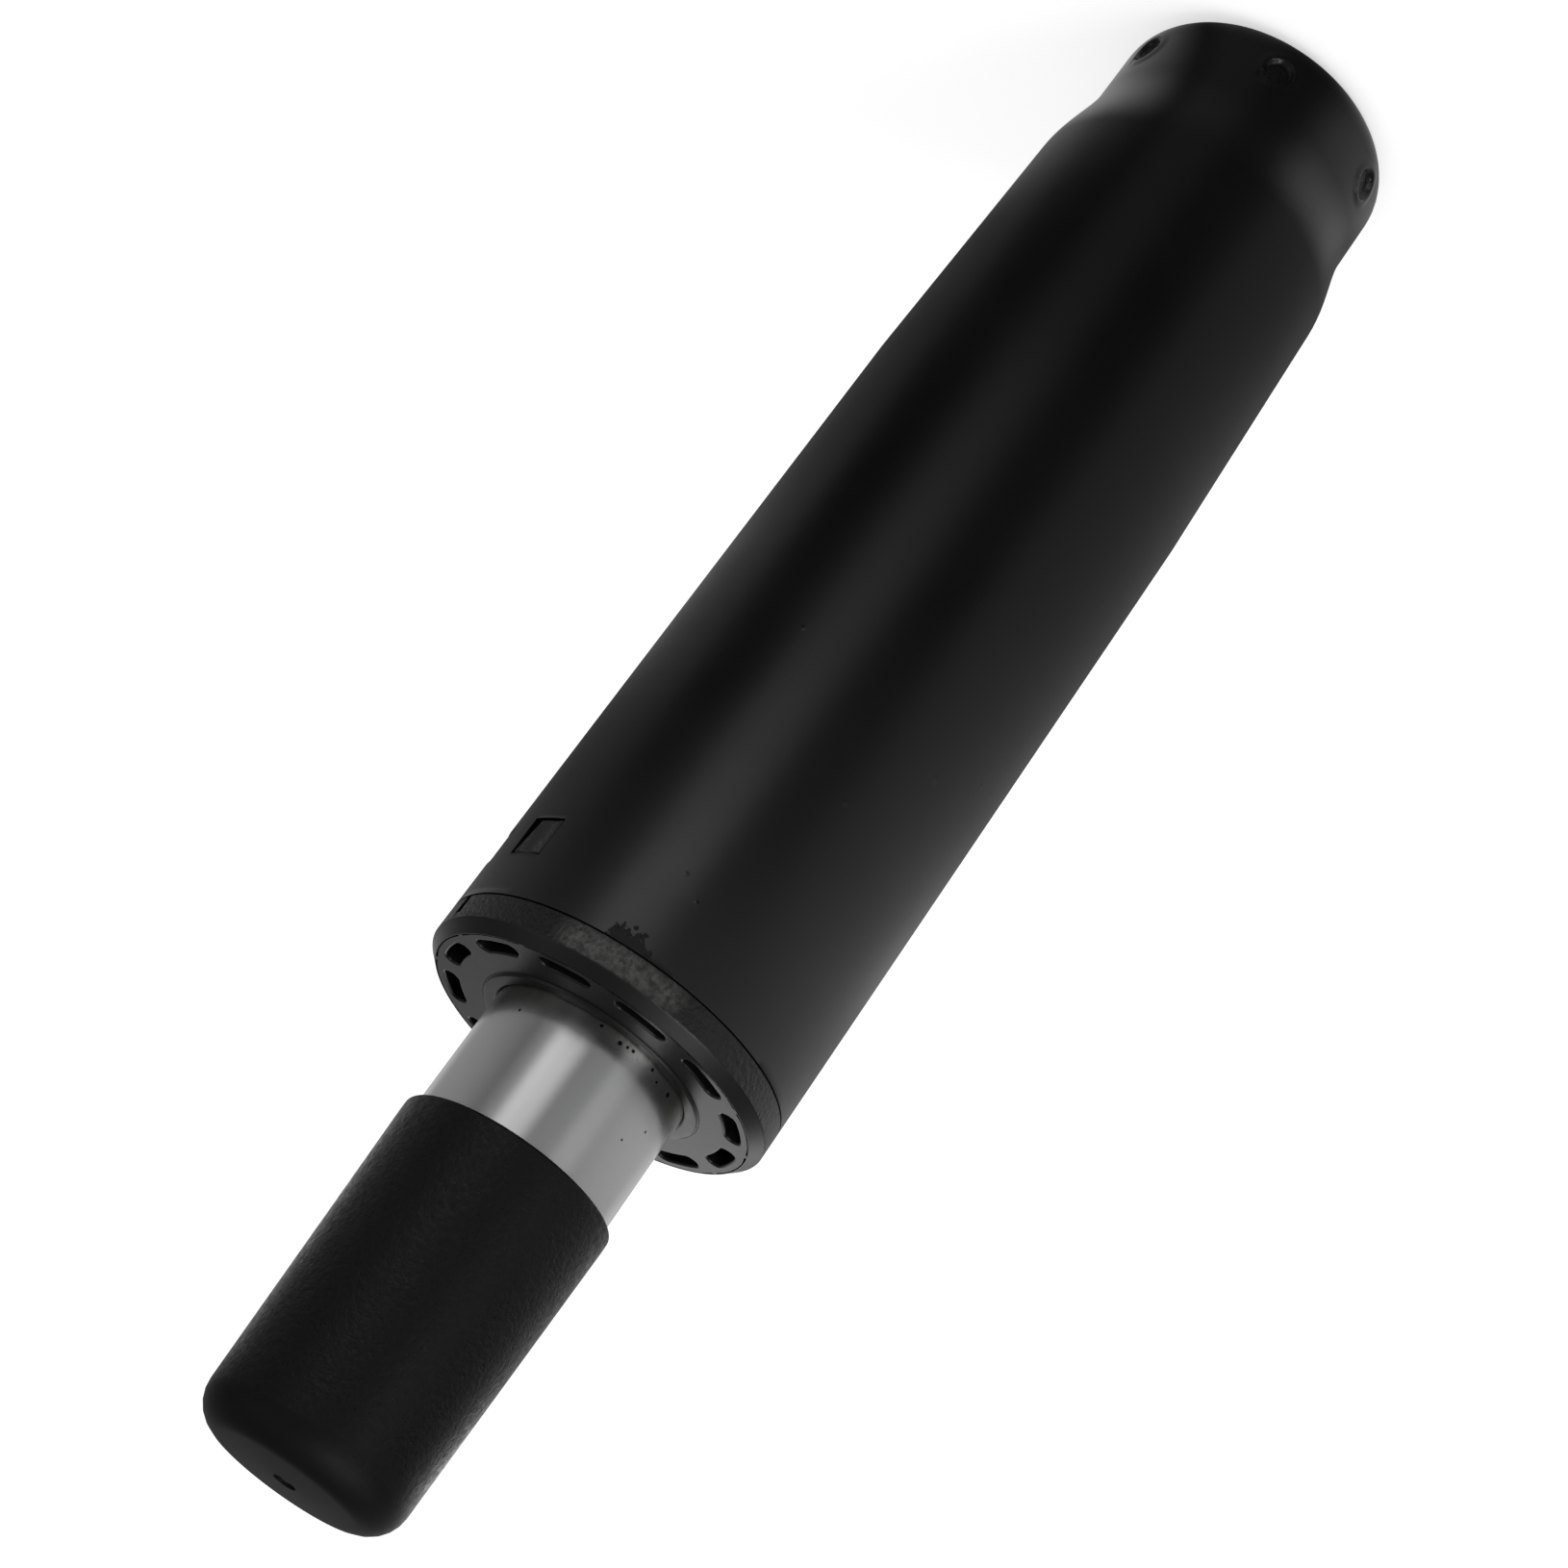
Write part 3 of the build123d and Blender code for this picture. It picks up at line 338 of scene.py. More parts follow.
# %% Cap plastic
CAP_GRAIN_SIZE = 0.8
CAP_GRAIN_DEPTH = 0.13
CAP_GRAIN_END = 245.0
CAP_GRAIN_FADE = 7.0
CAP_END_ROUGHNESS = 0.62
cap_plastic, tree, shader, place = new_finish("matt black polyethylene", "#070707", 0.42, specular=0.26)
inputs = {"Vector": place, "Scale": 1 / CAP_GRAIN_SIZE, "Detail": 4.0, "Roughness": 0.7}
grain = add_node(tree, "ShaderNodeTexNoise", inputs)
height = add_node(tree, "ShaderNodeSeparateXYZ", [place]).outputs["Z"]
inputs = [height, CAP_GRAIN_END - CAP_GRAIN_FADE, CAP_GRAIN_END, 1, 0]
below_end = add_node(tree, "ShaderNodeMapRange", inputs)
skin_grain = add_node(tree, "ShaderNodeMath", [grain, below_end], operation="MULTIPLY")
relief = add_node(tree, "ShaderNodeBump", {"Height": skin_grain, "Distance": CAP_GRAIN_DEPTH * MM})
uneven = add_node(tree, "ShaderNodeMapRange", [grain, *NOISE_CORE, 0.26, 0.5])
roughness = add_node(tree, "ShaderNodeMix", {0: below_end, 2: CAP_END_ROUGHNESS, 3: uneven})
feed(shader, {"Normal": relief, "Roughness": roughness})
print("cap plastic:", len(tree.nodes), "nodes")

# %% [markdown]
# The pieces inside the column show only when it is taken apart or opened for a drawing, but each
# still has the finish of the real one. They differ by colour, gloss and one texture, so one table
# of values is clearer than fourteen sections of nodes.

# %% Finishes of the inner pieces
GLOSS_SPREAD = 0.15
finishes = {
    "column_paint": column_paint,
    "bushing_plastic": bushing_plastic,
    "ground_steel": ground_steel,
    "cap_plastic": cap_plastic,
}
# slot: material, colour, roughness, metallic, grain in mm, depth in mm
inner_finishes = {
    "zinc_plated_steel": ("zinc plated steel", "#B5B8BC", 0.32, 1.0, 0.8, 0.004),
    "hardened_steel": ("hardened ground steel", "#A9ABAE", 0.22, 1.0, 0.3, 0.002),
    "bearing_steel": ("polished ball steel", "#D2D4D6", 0.08, 1.0, 0.5, 0.0005),
    "cage_plastic": ("moulded natural nylon", "#DAD5C2", 0.45, 0.0, 0.5, 0.004),
    "rod_steel": ("hard chromed rod", "#D6D8DB", 0.12, 1.0, 0.3, 0.001),
    "spring_steel": ("oiled spring steel", "#55585C", 0.35, 1.0, 0.6, 0.004),
    "bumper_rubber": ("moulded black rubber", "#141414", 0.7, 0.0, 0.6, 0.02),
    "seal_rubber": ("nitrile rubber", "#101112", 0.5, 0.0, 0.4, 0.006),
    "piston_alloy": ("turned aluminium alloy", "#C4C7CA", 0.3, 1.0, 0.4, 0.004),
    "slide_plastic": ("filled fluoropolymer", "#4E463C", 0.5, 0.0, 0.3, 0.004),
    "bearing_bronze": ("sintered bronze", "#A98450", 0.42, 1.0, 0.25, 0.008),
    "inner_tube_steel": ("drawn steel tube", "#9EA1A5", 0.28, 1.0, 0.5, 0.003),
    "valve_brass": ("turned brass", "#C6A661", 0.25, 1.0, 0.4, 0.003),
    "pin_steel": ("centreless ground pin steel", "#BCBFC2", 0.18, 1.0, 0.3, 0.002),
}
for slot, (name, colour, roughness, metallic, grain_size, depth) in inner_finishes.items():
    finishes[slot], tree, shader, place = new_finish(name, colour, roughness, metallic)
    grain = add_node(tree, "ShaderNodeTexNoise", {"Vector": place, "Scale": 1 / grain_size})
    relief = add_node(tree, "ShaderNodeBump", {"Height": grain, "Distance": depth * MM})
    gloss = [roughness * (1 - GLOSS_SPREAD), roughness * (1 + GLOSS_SPREAD)]
    uneven = add_node(tree, "ShaderNodeMapRange", [grain, *NOISE_SPAN, *gloss])
    feed(shader, {"Normal": relief, "Roughness": uneven})
slot_of = {piece["node"]: piece["material_slot"] for piece in frame["record"]["subparts"]}
for node, piece in frame["nodes"].items():
    piece.data.materials.clear()
    piece.data.materials.append(finishes[slot_of[node]])
print("finishes:", len(finishes), "on", len(frame["nodes"]), "pieces")

# %% [markdown]
# Most pieces are turned, so one helper draws an outline with soft corners and another turns it about
# the axis. The outline runs up the outside and down the inside, and that alone makes every face point
# outwards. Weighted normals keep the flats flat beside their soft edges, which a smooth shade alone
# would bend.

# %% Turned shapes
ARC_STEPS = 6
TURN_COLUMNS = 192


def soften(corners, steps=ARC_STEPS):
    """The closed outline through (radius, height, rounding) corners, with each rounding as an arc."""
    outline = []
    for here, (radius, height, rounding) in enumerate(corners):
        corner = Vector((radius, height))
        before = (Vector(corners[here - 1][:2]) - corner).normalized()
        after = (Vector(corners[(here + 1) % len(corners)][:2]) - corner).normalized()
        if rounding == 0:
            outline.append(corner)
            continue
        half = before.angle(after) / 2
        centre = corner + (before + after).normalized() * rounding / sin(half)
        first = (corner + before * rounding / tan(half) - centre).normalized()
        last = (corner + after * rounding / tan(half) - centre).normalized()
        outline += [centre + first.slerp(last, step / steps) * rounding for step in range(steps + 1)]
    return outline


def turned(name, outline, columns=TURN_COLUMNS):
    """A closed piece turned about the axis from a closed outline in millimetres."""
    shape = bmesh.new()
    rings = []
    for radius, height in outline:
        if radius == 0:
            rings.append([shape.verts.new((0, 0, height * MM))] * columns)
            continue
        turns = [2 * pi * column / columns for column in range(columns)]
        places = [(radius * cos(turn), radius * sin(turn), height) for turn in turns]
        rings.append([shape.verts.new([side * MM for side in place]) for place in places])
    for here, lower in enumerate(rings):
        upper = rings[(here + 1) % len(rings)]
        if lower[0] is lower[1] and upper[0] is upper[1]:
            continue
        for column in range(columns):
            beside = (column + 1) % columns
            corners = (lower[column], lower[beside], upper[beside], upper[column])
            shape.faces.new(list(dict.fromkeys(corners)))
    return finished(name, shape)


def finished(name, shape):
    """The piece of a bmesh, smooth, in the scene."""
    for face in shape.faces:
        face.smooth = True
    mesh = bpy.data.meshes.new(name)
    shape.to_mesh(mesh)
    shape.free()
    piece = bpy.data.objects.new(name, mesh)
    scene.collection.objects.link(piece)
    return piece


# %% Dressing a piece


def baked(piece):
    """The piece with its modifiers worked into a plain mesh."""
    depsgraph = bpy.context.evaluated_depsgraph_get()
    mesh = bpy.data.meshes.new_from_object(piece.evaluated_get(depsgraph))
    piece.modifiers.clear()
    piece.data = mesh
    return piece


def dress(piece, body, slot, node):
    """The piece, its flats shaded flat, on its body, in its finish, standing for its CAD node."""
    even = piece.modifiers.new("even", "WEIGHTED_NORMAL")
    even.weight = 100
    baked(piece)
    piece.data.materials.clear()
    piece.data.materials.append(finishes[slot])
    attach(piece, body)
    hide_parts(node)
    print(piece.name, len(piece.data.polygons), "faces")


# %% [markdown]
# The column tube is one open skin with a grid that follows its features, so that the windows are
# simply left out of it, and a wall thickness is given afterwards. Grid lines lie exactly on the edges
# of the windows, and close together where the stakes are pressed in.

# %% Outline of the column
TAIL_LENGTH = 14.0
SHOULDER_TOP = 28.0
HUB_TAPER_TOP = 72.0
TAPER_SLOPE = 1 / 40
RIM_ROUND = 5.0
RIM_OPENING_RADIUS = 13.0
RIM_FLAT = 0.8
RIM_STEPS = 12
TAIL_STEP = 0.25
SHOULDER_STEPS = 16
HUB_STEP = 4.0
COLUMN_WALL = 1.6
WINDOW_TOP = 170.0
WINDOW_HEIGHT = 5.9
WINDOW_HALF_WIDTH = 3.1
LUG_ANGLES = (-31.2, -5.4, 148.8, 174.6)
SHOULDER_RADIUS = COLUMN_RADIUS - (HUB_TAPER_TOP - SHOULDER_TOP) * TAPER_SLOPE
window_bottom = WINDOW_TOP - WINDOW_HEIGHT
window_half_turn = degrees(asin(WINDOW_HALF_WIDTH / COLUMN_RADIUS))


def shoulder(share):
    """A point of the curve from the tail to the hub taper, upright at its start."""
    start = Vector((TAIL_RADIUS, TAIL_LENGTH))
    end = Vector((SHOULDER_RADIUS, SHOULDER_TOP))
    reach = (end - start).length
    first = Vector((0, 1)) * reach
    last = Vector((TAPER_SLOPE, 1)).normalized() * reach
    square = share * share
    cube = square * share
    lean = first * (cube - 2 * square + share) + last * (cube - square)
    return start * (2 * cube - 3 * square + 1) + end * (3 * square - 2 * cube) + lean


def heights(start, end, widest_step):
    """Even heights from start up to end, without the end."""
    count = ceil((end - start) / widest_step)
    return [start + (end - start) * number / count for number in range(count)]


skin_outline = [(RIM_OPENING_RADIUS, 0), (TAIL_RADIUS - RIM_ROUND - RIM_FLAT, 0)]
for step in range(RIM_STEPS + 1):
    turn = pi / 2 * step / RIM_STEPS
    skin_outline.append((TAIL_RADIUS - RIM_ROUND * (1 - sin(turn)), RIM_ROUND * (1 - cos(turn))))
skin_outline += [(TAIL_RADIUS, height) for height in heights(RIM_ROUND, TAIL_LENGTH, TAIL_STEP)[1:]]
skin_outline += [tuple(shoulder(step / SHOULDER_STEPS)) for step in range(SHOULDER_STEPS)]
for height in heights(SHOULDER_TOP, HUB_TAPER_TOP, HUB_STEP):
    skin_outline.append((SHOULDER_RADIUS + (height - SHOULDER_TOP) * TAPER_SLOPE, height))
for start, end, step in (
    (HUB_TAPER_TOP, window_bottom - 1, 6.0),
    (window_bottom - 1, window_bottom, 0.5),
    (window_bottom, WINDOW_TOP, 1.0),
    (WINDOW_TOP, WINDOW_TOP + 1, 0.5),
    (WINDOW_TOP + 1, COLUMN_LENGTH, 1.2),
):
    skin_outline += [(COLUMN_RADIUS, height) for height in heights(start, end, step)]
skin_outline.append((COLUMN_RADIUS, COLUMN_LENGTH))
print("rows of the column's skin:", len(skin_outline))

# %% Angles of the column's skin
STAKE_REACH = 11.4
FINE_STEP = 0.6
COARSE_STEP = 1.8


def apart(angle, other):
    """How many degrees lie between two angles."""
    return abs((angle - other + 180) % 360 - 180)


window_marks = [(angle + side * window_half_turn) % 360 for angle in LUG_ANGLES for side in (-1, 1)]
stake_marks = [(angle + side * STAKE_REACH) % 360 for angle in stake_angles for side in (-1, 1)]
marks = sorted(window_marks + stake_marks)
skin_angles = []
for here, mark in enumerate(marks):
    following = marks[here + 1] if here + 1 < len(marks) else marks[0] + 360
    near_stake = min(apart((mark + following) / 2, angle) for angle in stake_angles) < STAKE_REACH
    skin_angles += heights(mark, following, FINE_STEP if near_stake else COARSE_STEP)

# %% Skin of the column


def in_window(angle, height):
    """Whether the middle of a grid cell lies in one of the windows."""
    if not window_bottom < height < WINDOW_TOP:
        return False
    return any(apart(angle, lug) < window_half_turn for lug in LUG_ANGLES)


shape = bmesh.new()
rows = [
    [shape.verts.new(around(radius, angle, height) * MM) for angle in skin_angles]
    for radius, height in skin_outline
]
for row in range(len(rows) - 1):
    middle_height = (skin_outline[row][1] + skin_outline[row + 1][1]) / 2
    lower, upper = rows[row : row + 2]
    for column, angle in enumerate(skin_angles):
        beside = (column + 1) % len(skin_angles)
        following = skin_angles[beside] + (360 if beside == 0 else 0)
        if not in_window((angle + following) / 2, middle_height):
            shape.faces.new((lower[column], lower[beside], upper[beside], upper[column]))
column_tube = finished("column_tube", shape)
print("grid of the column:", len(rows), "by", len(skin_angles))

# %% [markdown]
# Six punched stakes round the tail lock the base plate inside. They repeat by a rule, so Geometry
# Nodes press them in: a circle of points says where, the distance to the nearest point says how
# deep, and the metal that a punch pushes aside stands up as a low ring.

# %% Inputs of the stakes
stake_inputs = {
    "Count": ("NodeSocketInt", STAKE_COUNT),
    "First Angle": ("NodeSocketFloat", radians(STAKE_FIRST_ANGLE)),
    "Height": ("NodeSocketFloat", STAKE_HEIGHT * MM),
    "Circle Radius": ("NodeSocketFloat", TAIL_RADIUS * MM),
    "Floor Radius": ("NodeSocketFloat", 1.8 * MM),
    "Mouth Radius": ("NodeSocketFloat", 2.5 * MM),
    "Ring Radius": ("NodeSocketFloat", 3.9 * MM),
    "Depth": ("NodeSocketFloat", 0.7 * MM),
    "Ring Height": ("NodeSocketFloat", 0.2 * MM),
    "Material": ("NodeSocketMaterial", column_paint),
}


def new_tree(name, inputs):
    """A geometry tree with named inputs, each a kind of socket and a value, and what they give."""
    tree = bpy.data.node_groups.new(name, "GeometryNodeTree")
    tree.interface.new_socket("Geometry", in_out="INPUT", socket_type="NodeSocketGeometry")
    for label, (kind, value) in inputs.items():
        tree.interface.new_socket(label, in_out="INPUT", socket_type=kind)
    tree.interface.new_socket("Geometry", in_out="OUTPUT", socket_type="NodeSocketGeometry")
    return tree, add_node(tree, "NodeGroupInput").outputs


def give_tree(piece, tree, inputs):
    """Puts a geometry tree on a piece, with its named inputs set."""
    modifier = piece.modifiers.new(tree.name, "NODES")
    modifier.node_group = tree
    for socket in tree.interface.items_tree:
        if socket.in_out == "INPUT" and socket.name in inputs:
            modifier[socket.identifier] = inputs[socket.name][1]


# %% Stakes in the tail
stakes, given = new_tree("press stakes", stake_inputs)
inputs = {"Vertices": given["Count"], "Radius": given["Circle Radius"]}
circle = add_node(stakes, "GeometryNodeMeshCircle", inputs)
turn = add_node(stakes, "ShaderNodeCombineXYZ", {"Z": given["First Angle"]})
lift = add_node(stakes, "ShaderNodeCombineXYZ", {"Z": given["Height"]})
inputs = {"Geometry": circle, "Translation": lift, "Rotation": turn}
punches = add_node(stakes, "GeometryNodeTransform", inputs)
nearest = add_node(stakes, "GeometryNodeProximity", [punches], target_element="POINTS")
inputs = [nearest.outputs["Distance"], given["Floor Radius"], given["Mouth Radius"]]
out_of_pit = add_node(stakes, "ShaderNodeMapRange", inputs, interpolation_type="SMOOTHSTEP")
inputs = [nearest.outputs["Distance"], given["Mouth Radius"], given["Ring Radius"]]
out_of_ring = add_node(stakes, "ShaderNodeMapRange", inputs, interpolation_type="SMOOTHSTEP")
in_pit = add_node(stakes, "ShaderNodeMath", [1.0, out_of_pit], operation="SUBTRACT")
on_ring = add_node(stakes, "ShaderNodeMath", [out_of_pit, out_of_ring], operation="SUBTRACT")
sunk = add_node(stakes, "ShaderNodeMath", [in_pit, given["Depth"]], operation="MULTIPLY")
raised = add_node(stakes, "ShaderNodeMath", [on_ring, given["Ring Height"]], operation="MULTIPLY")
outward_move = add_node(stakes, "ShaderNodeMath", [raised, sunk], operation="SUBTRACT")
here = add_node(stakes, "GeometryNodeInputPosition")
flat_place = add_node(stakes, "ShaderNodeVectorMath", [here, (1, 1, 0)], operation="MULTIPLY")
outward = add_node(stakes, "ShaderNodeVectorMath", [flat_place], operation="NORMALIZE")
inputs = {0: outward, "Scale": outward_move}
shift = add_node(stakes, "ShaderNodeVectorMath", inputs, operation="SCALE")
pressed = add_node(stakes, "GeometryNodeSetPosition", {"Geometry": given["Geometry"], "Offset": shift})
real = add_node(stakes, "GeometryNodeRealizeInstances", [pressed])
painted = add_node(stakes, "GeometryNodeSetMaterial", {"Geometry": real, "Material": given["Material"]})
add_node(stakes, "NodeGroupOutput", [painted])
give_tree(column_tube, stakes, stake_inputs)
print("stakes:", STAKE_COUNT, "in a tree of", len(stakes.nodes), "nodes")

# %% [markdown]
# Solidify gives the skin the tube's real wall, inwards, and closes it along the ends and the windows.
# A small bevel then breaks every cut edge, because a painted edge always shows a thin bright line.

# %% Wall and edges of the column
EDGE_BREAK = 0.25
SHARP_ANGLE = 60
wall = column_tube.modifiers.new("wall", "SOLIDIFY")
wall.thickness = COLUMN_WALL * MM
wall.offset = -1
edges = column_tube.modifiers.new("edges", "BEVEL")
edges.width = EDGE_BREAK * MM
edges.segments = 3
edges.limit_method = "ANGLE"
edges.angle_limit = radians(SHARP_ANGLE)
dress(column_tube, "column", "column_paint", "stand_tube")

# %% [markdown]
# The bushing's flange has twelve round-ended slots in a ring. A twelfth of the bushing is modelled as
# a clean grid whose loops run round one slot, and Geometry Nodes repeat it round the axis. A boolean
# cut would be quicker to write, but it leaves long thin faces that spoil a glossy flat.

# %% Measures of the bushing
BUSHING_BOTTOM = 112.0
BUSHING_RADIUS = 23.35
BUSHING_BORE = 14.05
BEVEL_WIDTH = 1.4
WIPER_RADIUS = 15.95
WIPER_HEIGHT = 0.35
WIPER_BEVEL = 0.3
WIPER_LEAN = 0.15
SEAM = 0.07
SLOT_COUNT = 12
SLOT_FIRST_ANGLE = 23.5
SLOT_RING_RADIUS = 21.15
SLOT_SWEEP = 14.0
SLOT_HALF_WIDTH = 1.1
SLOT_DEPTH = 14.0
SLOT_EDGE = 0.3
FACE_INNER_MARGIN = 0.35
FACE_OUTER_MARGIN = 0.12
FACE_INNER = WIPER_RADIUS + FACE_INNER_MARGIN
FACE_OUTER = COLUMN_RADIUS - BEVEL_WIDTH - FACE_OUTER_MARGIN
sector = 360 / SLOT_COUNT

bushing_outline = soften(
    [
        (BUSHING_BORE, BUSHING_BOTTOM, 0),
        (BUSHING_RADIUS, BUSHING_BOTTOM, 0.25),
        (BUSHING_RADIUS, COLUMN_LENGTH + SEAM, 0),
        (COLUMN_RADIUS, COLUMN_LENGTH + SEAM, 0.3),
        (COLUMN_RADIUS, BEVEL_FOOT, 0.25),
        (COLUMN_RADIUS - BEVEL_WIDTH, FLANGE_TOP, 0.12),
        (FACE_OUTER, FLANGE_TOP, 0),
        (FACE_INNER, FLANGE_TOP, 0),
        (WIPER_RADIUS + WIPER_LEAN, FLANGE_TOP, 0.1),
        (WIPER_RADIUS, FLANGE_TOP + WIPER_HEIGHT, 0.15),
        (BUSHING_BORE + WIPER_BEVEL, FLANGE_TOP + WIPER_HEIGHT, 0.1),
        (BUSHING_BORE, FLANGE_TOP + WIPER_HEIGHT - WIPER_BEVEL, 0.1),
    ],
    4,
)
face_start = bushing_outline.index(Vector((FACE_OUTER, FLANGE_TOP)))
print("outline of the bushing:", len(bushing_outline), "points, its face after point", face_start)

# %% One twelfth of the bushing
SECTOR_COLUMNS = 24
SIDE_ROWS = 10
shape = bmesh.new()
columns = [sector * (column / SECTOR_COLUMNS - 0.5) for column in range(SECTOR_COLUMNS + 1)]
rings = [
    [shape.verts.new(around(radius, angle, height) * MM) for angle in columns]
    for radius, height in bushing_outline
]
for here, lower in enumerate(rings):
    if here == face_start:
        continue
    upper = rings[(here + 1) % len(rings)]
    for column in range(SECTOR_COLUMNS):
        shape.faces.new((lower[column], lower[column + 1], upper[column + 1], upper[column]))

sides = [FACE_INNER + (FACE_OUTER - FACE_INNER) * row / SIDE_ROWS for row in range(SIDE_ROWS + 1)]
border = [(angle, FACE_OUTER) for angle in columns[:-1]]
border += [(sector / 2, radius) for radius in reversed(sides[1:])]
border += [(angle, FACE_INNER) for angle in reversed(columns[1:])]
border += [(-sector / 2, radius) for radius in sides[:-1]]

# %% The slot in it
SLOT_FLAT = 0.1
EDGE_STEPS = 5
FIRST_RING_DEPTH = 1.0
face_shares = (0.4, 0.7, 0.9, 1.0)


def slot_point(angle, radius, outset):
    """The point of the slot's outline nearest to a point of the face, moved out by the outset."""
    middle = max(-SLOT_SWEEP / 2, min(SLOT_SWEEP / 2, angle))
    across = Vector((radians(angle - middle) * SLOT_RING_RADIUS, radius - SLOT_RING_RADIUS)).normalized()
    reach = across * (SLOT_HALF_WIDTH + outset)
    return middle + degrees(reach.x / SLOT_RING_RADIUS), SLOT_RING_RADIUS + reach.y


loops = [[(angle, radius, FLANGE_TOP) for angle, radius in border]]
rim = [slot_point(angle, radius, SLOT_EDGE + SLOT_FLAT) for angle, radius in border]
for share in face_shares:
    loops.append([(*Vector(start).lerp(Vector(end), share), FLANGE_TOP) for start, end in zip(border, rim)])
for step in range(EDGE_STEPS + 1):
    turn = pi / 2 * step / EDGE_STEPS
    outset = SLOT_EDGE * (1 - sin(turn))
    height = FLANGE_TOP - SLOT_EDGE * (1 - cos(turn))
    loops.append([(*slot_point(angle, radius, outset), height) for angle, radius in border])
for depth in (FIRST_RING_DEPTH, SLOT_DEPTH):
    loops.append([(*slot_point(angle, radius, 0.0), FLANGE_TOP - depth) for angle, radius in border])
slot_rings = [
    [shape.verts.new(around(radius, angle, height) * MM) for angle, radius, height in loop]
    for loop in loops
]
for outer, inner in zip(slot_rings, slot_rings[1:]):
    for here in range(len(border)):
        beside = (here + 1) % len(border)
        shape.faces.new((outer[here], inner[here], inner[beside], outer[beside]))
shape.faces.new(slot_rings[-1])
bmesh.ops.remove_doubles(shape, verts=shape.verts, dist=0.001 * MM)
bushing = finished("bushing_with_flange", shape)
print("one twelfth:", len(bushing.data.polygons), "faces")

# %% The whole bushing
sector_inputs = {
    "Count": ("NodeSocketInt", SLOT_COUNT),
    "First Angle": ("NodeSocketFloat", radians(SLOT_FIRST_ANGLE)),
    "Step": ("NodeSocketFloat", radians(sector)),
    "Weld": ("NodeSocketFloat", 0.002 * MM),
    "Material": ("NodeSocketMaterial", bushing_plastic),
}
sectors, given = new_tree("ring of slots", sector_inputs)
inputs = {"Count": given["Count"], "Offset": (0, 0, 0)}
axis_points = add_node(sectors, "GeometryNodeMeshLine", inputs, mode="OFFSET")
number = add_node(sectors, "GeometryNodeInputIndex")
turned_by = add_node(sectors, "ShaderNodeMath", [number, given["Step"]], operation="MULTIPLY")
angle = add_node(sectors, "ShaderNodeMath", [turned_by, given["First Angle"]])
turn = add_node(sectors, "FunctionNodeAxisAngleToRotation", {"Axis": (0, 0, 1), "Angle": angle})
inputs = {"Points": axis_points, "Instance": given["Geometry"], "Rotation": turn}
copies = add_node(sectors, "GeometryNodeInstanceOnPoints", inputs)
real = add_node(sectors, "GeometryNodeRealizeInstances", [copies])
welded = add_node(sectors, "GeometryNodeMergeByDistance", {"Geometry": real, "Distance": given["Weld"]})
inputs = {"Geometry": welded, "Material": given["Material"]}
coloured = add_node(sectors, "GeometryNodeSetMaterial", inputs)
add_node(sectors, "NodeGroupOutput", [coloured])
give_tree(bushing, sectors, sector_inputs)
print("bushing:", len(baked(bushing).data.polygons), "faces")

# %% [markdown]
# A notch in the flange keys the bushing, and a boolean cuts it, because it crosses the rounded seam.
# The snap lugs, which show in the column's windows, are soft-edged blocks added afterwards. Each is
# cut away towards the notch, more so at the tail end, so that it snaps in.

# %% Notch
NOTCH_ANGLE = -18.3
NOTCH_WIDTH = 1.3
NOTCH_HEIGHT = 2.9
NOTCH_DEPTH = 2.4
NOTCH_OVERRUN = 0.5
shape = bmesh.new()
size = Vector((2 * NOTCH_DEPTH, NOTCH_WIDTH, NOTCH_HEIGHT + NOTCH_OVERRUN)) * MM
bmesh.ops.create_cube(shape, size=1, matrix=Matrix.Diagonal((*size, 1)))
middle = COLUMN_LENGTH + (NOTCH_HEIGHT - NOTCH_OVERRUN) / 2
centre = Matrix.Translation(around(COLUMN_RADIUS, NOTCH_ANGLE, middle) * MM)
facing = Matrix.Rotation(radians(NOTCH_ANGLE), 4, "Z")
bmesh.ops.transform(shape, matrix=centre @ facing, verts=shape.verts)
notch_tool = finished("notch_tool", shape)
cut = bushing.modifiers.new("notch", "BOOLEAN")
cut.object = notch_tool
cut.operation = "DIFFERENCE"
cut.solver = "EXACT"
baked(bushing)
bpy.data.objects.remove(notch_tool)
print("bushing with its notch:", len(bushing.data.polygons), "faces")

# %% Snap lugs
LUG_GAP = 0.08
LUG_SINK = 0.2
LUG_TAIL_CUT = 1.3
LUG_CAP_CUT = 0.15
LUG_EDGE = 0.35
lug_half_width = WINDOW_HALF_WIDTH - LUG_GAP
lug_root = SLOT_RING_RADIUS + SLOT_HALF_WIDTH
lug_face = COLUMN_RADIUS - LUG_SINK
shape = bmesh.new()
shape.from_mesh(bushing.data)
for number, angle in enumerate(LUG_ANGLES):
    facing = Matrix.Rotation(radians(angle), 4, "Z")
    notch_side = 1 if number % 2 == 0 else -1
    corners = []
    for up, cut_away in ((window_bottom + LUG_GAP, LUG_TAIL_CUT), (WINDOW_TOP - LUG_GAP, LUG_CAP_CUT)):
        near = notch_side * (lug_half_width - cut_away)
        far = -notch_side * lug_half_width
        for radius, across in ((lug_root, far), (lug_root, near), (lug_face, near), (lug_face, far)):
            corners.append(shape.verts.new(facing @ Vector((radius, across, up)) * MM))
    block = [shape.faces.new(corners[:4]), shape.faces.new(corners[4:])]
    for here in range(4):
        beside = (here + 1) % 4
        side = (corners[here], corners[beside], corners[4 + beside], corners[4 + here])
        block.append(shape.faces.new(side))
    bmesh.ops.recalc_face_normals(shape, faces=block)
    block_edges = list({edge for face in block for edge in face.edges})
    bmesh.ops.bevel(shape, geom=block_edges, offset=LUG_EDGE * MM, segments=3, profile=0.5, affect="EDGES")
for face in shape.faces:
    face.smooth = True
